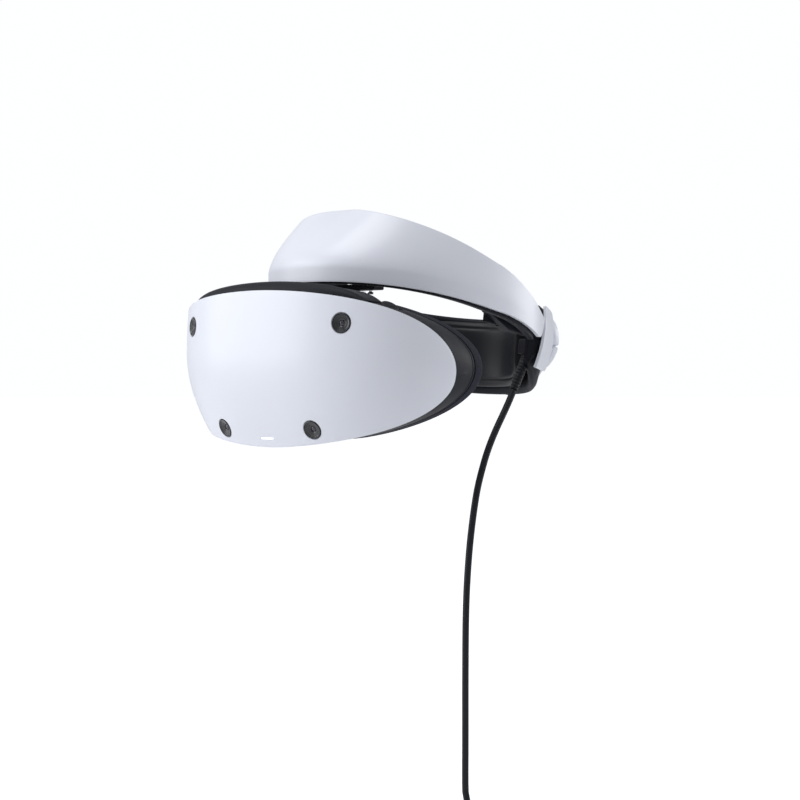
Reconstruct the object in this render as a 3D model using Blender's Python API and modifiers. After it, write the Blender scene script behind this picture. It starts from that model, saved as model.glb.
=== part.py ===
"""A virtual reality headset: a front scope that slides under a stiff halo band, a rear
unit drawn in by a dial, and a cable that hangs from the rear unit to a tied coil.

Stations are in millimetres: x to the wearer's left, y back from the visor's foremost
point, z up from a level just below the visor's tips.  pt() turns them into metres about
the centre of the wearer's head, which is the model's origin.
"""
import bpy
import bmesh
from math import cos, sin, pi, radians, atan2, sqrt, exp, copysign
from mathutils import Vector, Matrix

MM = 0.001
HEAD_Y = 150.0            # the head's centre, behind the visor's foremost point
HEAD_Z = 45.0             # and above the level that z counts from
GAP = 0.4                 # clearance between touching pieces
SIDES = ((1, "left"), (-1, "right"))

# Visor: a superellipse in plan, receding below and above its fullest level.
VISOR_W = 105.0           # half width
VISOR_D = 73.9            # how far its tips wrap back
VISOR_N = 2.59            # squareness of the plan
VISOR_FULL_Z = 20.3
VISOR_TOP_SLOPE = 0.040   # share of its size that the plan loses 50 above the fullest level
VISOR_CHIN_SLOPE = 0.151  # and 50 below it
VISOR_CHIN_POWER = 1.887
VISOR_T = 2.2             # wall
TOP_Z = 58.6
BOTTOM_Z = -39.1
TIP_Z = 4.0
CAMERAS = {"top_left": (34.3, 37.5), "top_right": (-34.3, 37.5),
           "bottom_left": (20.0, -27.6), "bottom_right": (-20.0, -27.6)}
CAMERA_R = 6.0
CAMERA_LENS_R = 3.0
CAMERA_DEPTH = 4.0
LIGHT_SIZE = (11.0, 1.0)  # status light, width and height
LIGHT_Z = -33.5

# Scope body behind the visor.
RIM_W = 97.0              # half width at the wearer's temples
RIM_H = 46.4
RIM_Z = 10.6
RIM_N = 2.1
RIM_Y = 62.0              # rim over the nose
RIM_WRAP = 46.0           # how much further back it reaches at the temples
SHELL_T = 2.0
FLANGE = 8.4              # width of the rubber rim
EYE_Z = 12.0
EYE_X = 32.5              # half of the distance between the eyes at rest
EYE_TRAVEL = 3.5          # each barrel slides this far either way
LENS_R = 20.0
BARREL_R = 22.5
LENS_PLATE_Y = 44.0
LENS_PLATE_SIZE = (86.0, 37.0)   # half width and half height
SHIELD_THROAT = (76.0, 33.0)     # of the light shield's opening at the lens plate
BARREL_Y = 24.0           # front end of a barrel
BARREL_L = 28.0
DISPLAY_Y = 21.4
BOARD_Y = 8.6
SPREADER_Y = 10.2
FAN_SEAT = (0.0, 14.8, 17.0)
FAN_HALF = 17.0
FAN_BORE = 15.4
DIAL_SEAT = (68.0, 50.0, 44.5)
DIAL_TILT = 32.0          # eye-distance dial leans outward
DIAL_R = 7.0
BUTTONS = {               # seat, direction that it faces, radius
    "power_button": ((-30.0, 40.0, -33.5), (0.0, 0.0, -1.0), 4.0),
    "function_button": ((30.0, 40.0, -33.5), (0.0, 0.0, -1.0), 4.0),
    "scope_release": ((-68.0, 50.0, 44.5), (-0.53, 0.0, 0.85), 7.0),
}

# Slide rails and the bracket that holds them to the band.
RAIL_X = 22.0
RAIL_Y = 55.0
RAIL_Z = 58.7
RAIL_SIZE = (9.0, 42.0, 1.4)
BRACKET_Y = 71.0
BRACKET_Z = 61.95
BRACKET_SIZE = (82.0, 10.0, 3.9)
SCREW_X = 34.0

# Halo band: two half ellipses in plan.
BAND_W = 80.0
BAND_FRONT = 43.0
BAND_MID = 147.0
BAND_BACK = 96.5
BAND_N = 2.23
BAND_END = 123.0          # degrees round from the forehead to each tip
BAND_T = 2.2
BAND_LOW = 65.2           # lower edge at the forehead, and how far it drops to the tips
BAND_LOW_DROP = 39.1
BAND_HIGH = 113.0         # upper edge, likewise
BAND_HIGH_DROP = 82.2
BAND_LEAN = 37.8          # how far the crown leans back over the forehead
BAND_CREASE = 9.3         # height of the upright part below the crown

# Rear unit, in a frame of its own that slopes down towards the back.
REAR_Y = 204.0
REAR_Z = 38.0
REAR_TILT = 8.0
REAR_MID = -58.0          # centre of the plan's ellipse along the sloping axis
COVER_W, COVER_D = 80.0, 115.0   # half axes of each layer's ellipse
WALL_W, WALL_D = 68.5, 96.5
PAD_W, PAD_D = 66.0, 93.5
KNOB_R = 23.0
KNOB_Y = 63.7             # front face of the dial
KNOB_Z = 2.0
PINION_R = 6.0
PINION_Y = 48.0
SHAFT_R = 3.8
RACK_R = 60.5
RACK_MID = -12.5
RACK_EDGE = 9.4           # from the pinion's axis to a rack's plain edge
SOCKET_SEAT = (-29.5, 37.5, -32.0)
SOCKET_FACING = (-0.32, 0.71, -0.62)
ARM_X = 63.5
ARM_H = 10.0

# Cable: out of the rear unit's left end, down, and put away in a coil on the ground.
CABLE_R = 2.25
CABLE_X = 55.0
GLAND_TOP = (CABLE_X, 199.7, 18.3)
GLAND_END = (CABLE_X, 186.7, -3.3)
ROUTE = ((176.6, -18.6), (168.9, -29.2), (161.8, -40.4), (155.8, -52.6), (149.0, -71.2),
         (143.2, -99.0), (139.9, -126.0), (138.4, -153.0), (138.0, -190.0), (138.0, -230.0))
COIL_R = 32.0             # to the middle of the winding
COIL_HALF_W = 9.3         # half of the winding's width
COIL_HALF_H = 12.0
COIL_Y = 170.0
TIE_T = 0.8
FLOOR_Z = -314.0


def pt(x, y, z):
    return Vector((x * MM, (y - HEAD_Y) * MM, (z - HEAD_Z) * MM))


def clear_scene():
    for obj in list(bpy.data.objects):
        bpy.data.objects.remove(obj, do_unlink=True)


def material(name, colour, roughness, metallic=0.0):
    mat = bpy.data.materials.get(name)
    if mat is None:
        mat = bpy.data.materials.new(name)
        mat.use_nodes = True
        shader = mat.node_tree.nodes["Principled BSDF"]
        shader.inputs["Base Color"].default_value = (*colour, 1.0)
        shader.inputs["Roughness"].default_value = roughness
        shader.inputs["Metallic"].default_value = metallic
    return mat


def make_materials():
    return {
        "white": material("satin_white", (0.80, 0.82, 0.86), 0.38),
        "black": material("soft_black", (0.020, 0.021, 0.026), 0.55),
        "gloss": material("gloss_black", (0.010, 0.010, 0.013), 0.15),
        "rubber": material("shield_rubber", (0.035, 0.036, 0.042), 0.75),
        "vinyl": material("pad_vinyl", (0.016, 0.018, 0.023), 0.35),
        "glass": material("lens_glass", (0.04, 0.05, 0.08), 0.03),
        "steel": material("steel", (0.62, 0.63, 0.65), 0.30, 1.0),
        "alloy": material("alloy", (0.70, 0.71, 0.73), 0.35, 1.0),
        "board": material("circuit_board", (0.02, 0.10, 0.05), 0.5),
        "light": material("status_light", (0.95, 0.96, 1.0), 0.3),
        "cable": material("cable_jacket", (0.022, 0.024, 0.030), 0.5),
    }


def collection(name):
    group = bpy.data.collections.new(name)
    bpy.context.scene.collection.children.link(group)
    return group


def put(name, mesh, mat, group=None):
    """Link a mesh as one named object."""
    obj = bpy.data.objects.new(name, mesh)
    (group or PARTS).objects.link(obj)
    if mat is not None:
        mesh.materials.append(mat)
    return obj


def smooth(mesh, angle=35.0):
    mesh.shade_smooth()
    mesh.set_sharp_from_angle(angle=radians(angle))


def loft(name, rows, mat, closed=False, capped=False, group=None):
    """A sheet through rows of points; closed joins each row's ends, capped fills both ends."""
    bm = bmesh.new()
    verts = [[bm.verts.new(p) for p in row] for row in rows]
    count = len(rows[0])
    for lower, upper in zip(verts[:-1], verts[1:]):
        for i in range(count if closed else count - 1):
            j = (i + 1) % count
            bm.faces.new((lower[i], lower[j], upper[j], upper[i]))
    if capped:
        bm.faces.new(verts[0][::-1])
        bm.faces.new(verts[-1])
        bmesh.ops.recalc_face_normals(bm, faces=bm.faces)
    mesh = bpy.data.meshes.new(name)
    bm.to_mesh(mesh)
    bm.free()
    smooth(mesh)
    return put(name, mesh, mat, group)


def solidify(obj, thickness, offset=-1.0):
    mod = obj.modifiers.new("Wall", "SOLIDIFY")
    mod.thickness = thickness * MM
    mod.offset = offset
    return obj


def bevel(obj, width, segments=2, angle=40.0):
    mod = obj.modifiers.new("Edges", "BEVEL")
    mod.width = width * MM
    mod.segments = segments
    mod.limit_method = "ANGLE"
    mod.angle_limit = radians(angle)
    return obj


def turned(name, profile, mat, steps=32, group=None):
    """A solid of revolution about local Z from (radius, height) points on its section."""
    mesh = bpy.data.meshes.new(name)
    verts = [(r * MM, 0.0, h * MM) for r, h in profile]
    count = len(verts)
    on_axis = profile[0][0] == 0.0 and profile[-1][0] == 0.0
    edges = [(i, i + 1) for i in range(count - 1)]
    if not on_axis:
        edges.append((count - 1, 0))
    mesh.from_pydata(verts, edges, [])
    obj = put(name, mesh, mat, group)
    mod = obj.modifiers.new("Turn", "SCREW")
    mod.axis = "Z"
    mod.steps = steps
    mod.render_steps = steps
    mod.use_merge_vertices = True
    mod.merge_threshold = 0.00001
    mod.use_smooth_shade = True
    return obj


def block(name, size, mat, group=None, edge=0.0, segments=2):
    """A box of the given millimetre size about its own centre."""
    bm = bmesh.new()
    bmesh.ops.create_cube(bm, size=1.0, matrix=Matrix.Diagonal((*[s * MM for s in size], 1.0)))
    mesh = bpy.data.meshes.new(name)
    bm.to_mesh(mesh)
    bm.free()
    obj = put(name, mesh, mat, group)
    return bevel(obj, edge, segments) if edge else obj


def rod(name, radius, length, mat, group=None, sides=32):
    """A cylinder of the given length about its own centre, along local Z."""
    bm = bmesh.new()
    bmesh.ops.create_cone(bm, cap_ends=True, segments=sides, radius1=radius * MM,
                          radius2=radius * MM, depth=length * MM)
    mesh = bpy.data.meshes.new(name)
    bm.to_mesh(mesh)
    bm.free()
    smooth(mesh)
    return put(name, mesh, mat, group)


def outline(name, points, height, mat, group=None, holes=()):
    """A flat outline in local XY, extruded to the given height about its plane."""
    curve = bpy.data.curves.new(name, "CURVE")
    curve.dimensions = "2D"
    curve.fill_mode = "BOTH"
    curve.extrude = height / 2 * MM
    for loop in (points, *holes):
        spline = curve.splines.new("POLY")
        spline.points.add(len(loop) - 1)
        for knot, (x, y) in zip(spline.points, loop):
            knot.co = (x * MM, y * MM, 0.0, 1.0)
        spline.use_cyclic_u = True
    draft = bpy.data.objects.new(name + "_draft", curve)
    bpy.context.scene.collection.objects.link(draft)
    graph = bpy.context.evaluated_depsgraph_get()
    mesh = bpy.data.meshes.new_from_object(draft.evaluated_get(graph))
    bpy.data.objects.remove(draft, do_unlink=True)
    bm = bmesh.new()
    bm.from_mesh(mesh)
    bmesh.ops.remove_doubles(bm, verts=bm.verts, dist=0.00001)
    bm.to_mesh(mesh)
    bm.free()
    mesh.materials.clear()
    smooth(mesh)
    return put(name, mesh, mat, group)


def tube(name, points, radius, mat, resolution=2):
    curve = bpy.data.curves.new(name, "CURVE")
    curve.dimensions = "3D"
    curve.bevel_depth = radius * MM
    curve.bevel_resolution = resolution
    curve.use_fill_caps = True
    spline = curve.splines.new("POLY")
    spline.points.add(len(points) - 1)
    for knot, point in zip(spline.points, points):
        knot.co = (*point, 1.0)
    obj = bpy.data.objects.new(name, curve)
    PARTS.objects.link(obj)
    curve.materials.append(mat)
    return obj


def place(obj, point, rotation=(0.0, 0.0, 0.0), parent=None):
    """Move an object to a station, turned by degrees about X, Y and Z."""
    obj.location = point
    obj.rotation_euler = [radians(a) for a in rotation]
    if parent is not None:
        obj.parent = parent
    return obj


def aim(obj, point, direction, parent=None):
    """Move an object to a station with its local Z along a direction."""
    obj.location = point
    obj.rotation_euler = Vector(direction).to_track_quat("Z", "Y").to_euler()
    if parent is not None:
        obj.parent = parent
    return obj


def hide_cutter(obj):
    obj.hide_render = True
    obj.display_type = "WIRE"
    return obj


def cut(target, cutter, operation="DIFFERENCE"):
    mod = target.modifiers.new("Cut", "BOOLEAN")
    mod.operation = operation
    mod.object = hide_cutter(cutter)
    mod.solver = "EXACT"
    return target


def power(value, exponent):
    return copysign(abs(value) ** exponent, value)


# ---------------------------------------------------------------- visor and scope shapes

def visor_plan(angle, z, inset=0.0):
    """A point of the visor's surface at a plan angle (degrees) and a level."""
    rise = (z - VISOR_FULL_Z) / 50.0
    slope = VISOR_TOP_SLOPE * rise ** 2
    if rise < 0:
        slope = VISOR_CHIN_SLOPE * (-rise) ** VISOR_CHIN_POWER
    scale = 1.0 - slope
    across, along = sin(radians(angle)), cos(radians(angle))
    x = (scale * VISOR_W - inset) * power(across, 2 / VISOR_N)
    y = VISOR_D - (scale * VISOR_D - inset) * max(along, 0.0) ** (2 / VISOR_N)
    return x, y


def visor_edge(turn, upper):
    """Level of the visor's edge at a fraction of the way round to a tip."""
    turn = min(abs(turn), 1.0)
    if upper:
        return TIP_Z + (TOP_Z - TIP_Z) * (1 - turn ** 1.464) ** (1 / 2.753)
    return TIP_Z - (TIP_Z - BOTTOM_Z) * (1 - turn ** 1.302) ** (1 / 2.749)


def visor_point(turn, level, inset=0.0, shrink=0.0):
    """turn runs from tip to tip, level from bottom edge (-1) to top edge (+1)."""
    edge = visor_edge(turn, level >= 0)
    z = TIP_Z + (edge - TIP_Z) * abs(level)
    z -= copysign(shrink, level) * abs(level)
    x, y = visor_plan(90.0 * turn, z, inset)
    return pt(x, y, z)


def visor_normal(angle, z):
    """Outward direction of the visor's surface."""
    step = 0.5
    x0, y0 = visor_plan(angle - step, z)
    x1, y1 = visor_plan(angle + step, z)
    along = Vector((x1 - x0, y1 - y0, 0.0))
    xa, ya = visor_plan(angle, z - step)
    xb, yb = visor_plan(angle, z + step)
    up = Vector((xb - xa, yb - ya, 2 * step))
    return along.cross(up).normalized()


def disc_grid(columns, rows):
    """Rows of (turn, level) pairs that cover the visor without a pole."""
    grid = []
    for j in range(rows + 1):
        b = -1 + 2 * j / rows
        line = []
        for i in range(columns + 1):
            a = -1 + 2 * i / columns
            u = a * sqrt(1 - b * b / 2)
            v = b * sqrt(1 - a * a / 2)
            reach = sqrt(max(1 - u * u, 1e-9))
            line.append((u, max(-1.0, min(1.0, v / reach))))
        grid.append(line)
    return grid


def rim_point(turn, width, height, back, nose=0.0, flat=False):
    """A point of the scope's rear outline, seen from behind, round by an angle."""
    x = width * power(cos(turn), 2 / RIM_N)
    z = RIM_Z + height * power(sin(turn), 2 / RIM_N)
    if sin(turn) < 0:
        z += nose * exp(-(x / 17.0) ** 2)
    wrap = 0.0 if flat else RIM_WRAP * (x / RIM_W) ** 2
    return pt(x, back + wrap, z)


def ring_turns(count):
    return [2 * pi * i / count for i in range(count)]


def make_visor(mats):
    rows = [[visor_point(u, v) for u, v in line] for line in disc_grid(24, 14)]
    visor = solidify(loft("visor_cover", rows, mats["white"]), VISOR_T)
    for name, (angle, z) in CAMERAS.items():
        x, y = visor_plan(angle, z)
        cutter = rod("camera_bore_" + name, CAMERA_R + GAP, 30.0, None, CUTTERS, 24)
        cut(visor, aim(cutter, pt(x, y, z), visor_normal(angle, z)))
    width, height = LIGHT_SIZE
    slot = block("light_slot", (width + 2 * GAP, 12.0, height + 2 * GAP), None, CUTTERS)
    x, y = visor_plan(0.0, LIGHT_Z)
    cut(visor, aim_light(slot, y))
    return visor


def aim_light(obj, y):
    pitch = atan2(-visor_normal(0.0, LIGHT_Z).z, -visor_normal(0.0, LIGHT_Z).y)
    obj.location = pt(0.0, y, LIGHT_Z)
    obj.rotation_euler = (pitch, 0.0, 0.0)
    return obj


def make_status_light(mats):
    width, height = LIGHT_SIZE
    x, y = visor_plan(0.0, LIGHT_Z)
    light = block("status_light", (width, 2.4, height), mats["light"])
    aim_light(light, y)
    light.location -= visor_normal(0.0, LIGHT_Z) * 0.9 * MM
    return light


def make_camera(name, mats):
    """A bezel ring with a dished front, and the lens that sits in it."""
    angle, z = CAMERAS[name]
    x, y = visor_plan(angle, z)
    inner = CAMERA_LENS_R + GAP
    ring = turned("camera_ring_" + name,
                  [(inner, 0.2), (5.2, 0.6), (CAMERA_R, 0.3), (CAMERA_R, -CAMERA_DEPTH),
                   (inner, -CAMERA_DEPTH)], mats["gloss"], 20)
    lens = turned("camera_lens_" + name,
                  [(0.0, -0.3), (1.8, -0.6), (CAMERA_LENS_R, -1.2),
                   (CAMERA_LENS_R, -CAMERA_DEPTH), (0.0, -CAMERA_DEPTH)], mats["glass"], 16)
    for piece in (ring, lens):
        aim(piece, pt(x, y, z), visor_normal(angle, z))


def housing_rows(count):
    """Outlines of the scope housing from under the visor's edge to the temples."""
    rows = []
    for inset, shrink, back in ((3.4, 4.2, 0.0), (3.1, 2.6, 1.6)):
        row = []
        for turn in ring_turns(count):
            level = 1.0 if sin(turn) >= 0 else -1.0
            point = visor_point(cos(turn), level, inset, shrink)
            row.append(point + Vector((0.0, back * MM, 0.0)))
        rows.append(row)
    rim = [rim_point(t, RIM_W, RIM_H, RIM_Y - FLANGE - 1.0) for t in ring_turns(count)]
    front = rows[-1]
    for share in (0.35, 0.7, 1.0):
        ease = share ** 0.8
        row = []
        for near, far in zip(front, rim):
            point = near.lerp(far, share)
            point.x = near.x + (far.x - near.x) * share ** 1.6
            point.z = near.z + (far.z - near.z) * ease
            row.append(point)
        rows.append(row)
    return rows


def dial_lean():
    return sin(radians(DIAL_TILT)), 0.0, cos(radians(DIAL_TILT))


def make_scope_housing(mats):
    housing = solidify(loft("scope_housing", housing_rows(44), mats["black"], closed=True),
                       SHELL_T, 1.0)
    bore = rod("dial_bore", DIAL_R + GAP, 20.0, None, CUTTERS, 32)
    cut(housing, aim(bore, pt(*DIAL_SEAT), dial_lean()))
    for name, (seat, direction, radius) in BUTTONS.items():
        bore = rod(name + "_bore", radius + GAP, 16.0, None, CUTTERS, 24)
        cut(housing, aim(bore, pt(*seat), direction))


def make_top_cover(mats):
    """The vented brow over the scope, open at the back for the slide rails."""
    rows = []
    for back, rise in ((0.0, -0.6), (1.5, 3.8), (6.5, 6.2), (14.0, 4.6), (24.0, 3.6), (36.0, 3.5)):
        row = []
        for i in range(29):
            turn = -0.80 + 1.30 * i / 28
            away = (turn + 0.09) / (0.60 if turn > -0.09 else 0.72)
            x, y = visor_plan(90.0 * turn, visor_edge(turn, True), 3.4)
            y += back * (1 - 0.6 * away ** 2)
            row.append(pt(x, y, visor_edge(turn, True) + rise * max(1 - away ** 6, 0.1)))
        rows.append(row)
    return solidify(loft("top_cover", rows, mats["black"]), 1.2)


def make_light_shield(mats):
    """A soft skirt: a flange round the temples that turns in towards the lenses."""
    turns = ring_turns(44)
    rows = [
        [rim_point(t, RIM_W, RIM_H, RIM_Y - FLANGE) for t in turns],
        [rim_point(t, RIM_W, RIM_H, RIM_Y - 2.0, 6.0) for t in turns],
        [rim_point(t, RIM_W - 1.8, RIM_H - 1.8, RIM_Y, 14.0) for t in turns],
        [rim_point(t, RIM_W - 8.0, RIM_H - 7.0, RIM_Y - 3.0, 18.0) for t in turns],
        [rim_point(t, RIM_W - 16.0, RIM_H - 12.0, RIM_Y - 8.0, 12.0) for t in turns],
        [rim_point(t, *SHIELD_THROAT, LENS_PLATE_Y + 6.5, 4.0, flat=True) for t in turns],
    ]
    return solidify(loft("light_shield", rows, mats["rubber"], closed=True), 1.3, 1.0)


def slot_outline(centre, half, radius):
    """A hole with round ends that lets a barrel slide sideways."""
    points = []
    for side, start in ((1, -90.0), (-1, 90.0)):
        for i in range(13):
            angle = radians(start + 180.0 * i / 12)
            points.append((centre + side * half + radius * cos(angle), radius * sin(angle)))
    return points


def make_lens_plate(mats):
    points = []
    width, height = LENS_PLATE_SIZE
    for turn in ring_turns(48):
        points.append((width * power(cos(turn), 2 / RIM_N), height * power(sin(turn), 2 / RIM_N)))
    holes = [slot_outline(side * EYE_X, EYE_TRAVEL, BARREL_R + 0.6) for side in (-1, 1)]
    plate = outline("lens_plate", points, 2.4, mats["black"], holes=holes)
    return place(plate, pt(0.0, LENS_PLATE_Y + 1.5, EYE_Z), (90, 0, 0))


def make_optics(side, name, mats):
    """One eye's barrel, lens and display, which slide sideways together."""
    seat, ledge = LENS_R + GAP, LENS_R - 2.0
    barrel = turned("lens_barrel_" + name,
                    [(seat, BARREL_L), (BARREL_R, BARREL_L), (BARREL_R, 0.0),
                     (ledge, 0.0), (ledge, 20.0), (seat, 20.0)], mats["black"], 32)
    lens = turned("lens_" + name,
                  [(0.0, 26.6), (8.0, 26.2), (14.0, 25.0), (LENS_R, 22.8), (LENS_R, 20.4),
                   (0.0, 20.4)], mats["glass"], 32)
    for piece in (barrel, lens):
        place(piece, pt(side * EYE_X, BARREL_Y, EYE_Z), (-90, 0, 0))
    display = block("display_" + name, (43.0, 4.0, 43.0), mats["gloss"], edge=1.0)
    place(display, pt(side * EYE_X, DISPLAY_Y, EYE_Z))


def make_electronics(mats):
    """Circuit board, heat spreader and fan between the visor and the displays."""
    level = FAN_SEAT[2]
    place(block("main_board", (80.0, 1.2, 42.0), mats["board"]), pt(0.0, BOARD_Y, level))
    place(block("heat_spreader", (76.0, 1.0, 38.0), mats["alloy"]), pt(0.0, SPREADER_Y, level))
    outer = [(x * FAN_HALF, z * FAN_HALF) for x, z in ((-1, -1), (1, -1), (1, 1), (-1, 1))]
    ring = [(FAN_BORE * cos(t), FAN_BORE * sin(t)) for t in ring_turns(32)]
    housing = outline("fan_housing", outer, 6.4, mats["black"], holes=[ring])
    place(housing, pt(*FAN_SEAT), (90, 0, 0))
    rotor = rod("fan_rotor", 6.0, 5.0, mats["black"], sides=24)
    place(rotor, pt(*FAN_SEAT), (90, 0, 0))
    for i in range(4):
        blade = block("fan_blades_%d" % i, (28.0, 1.2, 4.0), None, CUTTERS)
        place(blade, pt(*FAN_SEAT), (90, 45 * i, 0))
        cut(rotor, blade, "UNION")


def make_sensor(mats):
    """The window between the eyes that notices a face."""
    sensor = block("face_sensor", (7.0, 1.6, 5.0), mats["gloss"], edge=0.5, segments=1)
    place(sensor, pt(0.0, LENS_PLATE_Y + 3.9, EYE_Z + 14.0))


def make_controls(mats):
    """Buttons under and over the scope, and the eye-distance dial."""
    for name, (seat, direction, radius) in BUTTONS.items():
        cap = turned(name, [(0.0, 1.0), (radius - 0.8, 1.0), (radius, 0.2), (radius, -4.0),
                            (0.0, -4.0)], mats["gloss"], 20)
        aim(cap, pt(*seat), direction)
    dial = turned("eye_distance_dial",
                  [(0.0, 6.2), (3.6, 5.8), (5.8, 4.6), (DIAL_R, 2.4), (DIAL_R, -3.0),
                   (0.0, -3.0)], mats["black"], 28)
    aim(dial, pt(*DIAL_SEAT), dial_lean())


def make_rails(mats):
    """Two rails under the band that run into the scope's brow, and their bracket."""
    for side, name in SIDES:
        rail = block("slide_rail_" + name, RAIL_SIZE, mats["steel"], edge=0.3, segments=1)
        place(rail, pt(side * RAIL_X, RAIL_Y, RAIL_Z))
        screw = turned("bracket_screw_" + name,
                       [(0.0, 0.0), (1.2, 0.0), (1.2, -0.7), (2.2, -1.4), (2.4, -2.2), (0.0, -2.2)],
                       mats["steel"], 12)
        place(screw, pt(side * SCREW_X, BRACKET_Y, BRACKET_Z - BRACKET_SIZE[2] / 2 - GAP))
    bracket = block("rail_bracket", BRACKET_SIZE, mats["black"], edge=0.8)
    place(bracket, pt(0.0, BRACKET_Y, BRACKET_Z))


# ---------------------------------------------------------------- halo band

def band_base(share, rise):
    """The band's outer surface: share runs from tip to tip, rise from lower to upper edge."""
    angle = radians(BAND_END * share)
    s = min(abs(share), 0.999)
    reach = BAND_MID - BAND_FRONT if cos(angle) > 0 else BAND_BACK
    x = BAND_W * power(sin(angle), 2 / BAND_N)
    along = -reach * power(cos(angle), 2 / BAND_N)
    inward = -Vector((power(x / BAND_W, BAND_N - 1) / BAND_W,
                      power(along / reach, BAND_N - 1) / reach, 0.0)).normalized()
    low = BAND_LOW - BAND_LOW_DROP * s ** 2.37 + 17.0 * (max(s - 0.93, 0.0) / 0.07) ** 2
    high = BAND_HIGH - BAND_HIGH_DROP * s ** 2.63 + 13.0 * s ** 10
    z = low + (high - low) * rise
    upright = min(BAND_CREASE, 0.3 * (high - low))
    crown = max(z - low - upright, 0.0) / (high - low - upright)
    lean = BAND_LEAN * (1 - s ** 1.61) ** 2.89 * crown ** 1.57
    return Vector((x, BAND_MID + along, z)) + inward * lean


def band_point(share, rise, depth=0.0, drop=0.0):
    """The same surface moved in towards the head, and its lower edge dropped."""
    step = 0.004
    base = band_base(share, rise)
    along = band_base(share + step, rise) - band_base(share - step, rise)
    up = band_base(share, rise + step) - band_base(share, rise - step)
    point = base - along.cross(up).normalized() * depth
    point.z -= drop * max(1 - rise * 4, 0.0)
    return pt(*point)


def band_rows(reach, columns, rises, depth=0.0, drop=0.0, rise_from=0.0, rise_to=1.0):
    rows = []
    for j in range(rises + 1):
        rise = rise_from + (rise_to - rise_from) * j / rises
        row = []
        for i in range(columns + 1):
            share = reach * sin(pi / 2 * (-1 + 2 * i / columns))
            row.append(band_point(share, rise, depth, drop * (1 + 4 * abs(share) ** 5)))
        rows.append(row)
    return rows


def make_band(mats):
    cover = loft("band_cover", band_rows(0.998, 44, 7), mats["white"])
    solidify(cover, BAND_T)
    liner = loft("band_frame", band_rows(0.91, 40, 6, 2.7, 1.2, rise_to=0.96), mats["black"])
    solidify(liner, 3.6)
    pad = loft("forehead_pad", band_rows(0.34, 12, 4, 7.2, 0.0, 0.03, 0.72), mats["vinyl"])
    bevel(solidify(pad, 9.0), 2.5, 1)


def make_side_guides(frame, mats):
    """A channel in each side of the band that the rear unit's arm slides in."""
    inner = ((60.9, -12.0), (60.9, -42.0), (61.8, -52.0), (64.5, -61.0), (69.0, -70.0))
    outer = ((70.2, -72.0), (70.0, -56.0), (69.3, -40.0), (67.8, -26.0), (65.9, -12.0))
    for side, name in SIDES:
        points = [(side * x, y) for x, y in inner + outer]
        guide = outline("side_guide_" + name, points[::side], 15.0, mats["black"])
        place(guide, (0, 0, 0), parent=frame)
        slot = block("arm_slot_" + name, (2.6, 58.0, ARM_H + 1.0), None, CUTTERS)
        place(slot, Vector((side * ARM_X, -35.0, 0.0)) * MM, parent=frame)
        cut(guide, slot)


# ---------------------------------------------------------------- rear unit

def rear_point(angle, z, width, depth):
    """A point in the rear unit's own frame, round from its back by an angle."""
    a = radians(angle)
    return Vector((width * sin(a), REAR_MID + depth * cos(a), z)) * MM


def cover_low(angle):
    return -15.0 - 22.0 * (1 - min(abs(angle) / 34.0, 1.0) ** 1.6) ** 1.3


def cover_edge(angle):
    """Lower edge of the white cover, which also dips over the body's two ends."""
    dip = min(max((abs(angle) - 36.0) / 14.0, 0.0), 1.0)
    return cover_low(angle) - 13.0 * dip * dip * (3.0 - 2.0 * dip)


def frame_low(angle):
    return -40.0 + 16.0 * (abs(angle) / 60.0) ** 5


def rim_top(angle):
    """Level of the rear unit's top, which rises behind the dial."""
    return 13.9 + 1.5 * (angle / 60.0) ** 4 + 10.5 * max(1 - (angle / 15.0) ** 2, 0.0)


def make_rear_cover(frame, mats):
    rows = []
    for j in range(7):
        row = []
        for i in range(27):
            share = -1 + 2 * i / 26
            angle = 60.0 * share
            low, high = cover_edge(angle), rim_top(angle)
            z = low + (high - low) * j / 6
            bulge = 2.4 * (1 - ((j - 3) / 3) ** 2) - 2.4
            row.append(rear_point((60.0 - 0.12 * z) * share, z, COVER_W + bulge, COVER_D + bulge))
        rows.append(row)
    cover = solidify(loft("rear_cover", rows, mats["white"]), 2.2, 1.0)
    place(cover, (0, 0, 0), parent=frame)
    bore = rod("shaft_bore", SHAFT_R + 1.2, 20.0, None, CUTTERS, 24)
    place(bore, Vector((0.0, COVER_D + REAR_MID, KNOB_Z)) * MM, (90, 0, 0), frame)
    cut(cover, bore)


def make_frame_end(side, name):
    """The solid end of the rear unit's body, which fills its hollow section."""
    section = (
        (73.6, 107.6, lambda a: cover_low(a) + 2.0),
        (72.9, 104.2, lambda a: frame_low(a) + 5.0),
        (71.6, 101.2, lambda a: frame_low(a) + 1.2),
        (70.4, 99.2, lambda a: frame_low(a) + 1.2),
        (69.2, 97.4, lambda a: frame_low(a) + 4.2),
        (69.2, 97.4, lambda a: rim_top(a) - 2.6),
        (70.4, 99.2, lambda a: rim_top(a) - 1.1),
        (73.2, 106.6, lambda a: rim_top(a) - 1.1),
    )
    rows = []
    for i in range(5):
        angle = side * (50.0 + 8.6 * i / 4)
        rows.append([rear_point(angle, level(angle), w, d) for w, d, level in section])
    return loft("frame_end_" + name, rows[::side], None, closed=True, capped=True, group=CUTTERS)


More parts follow.
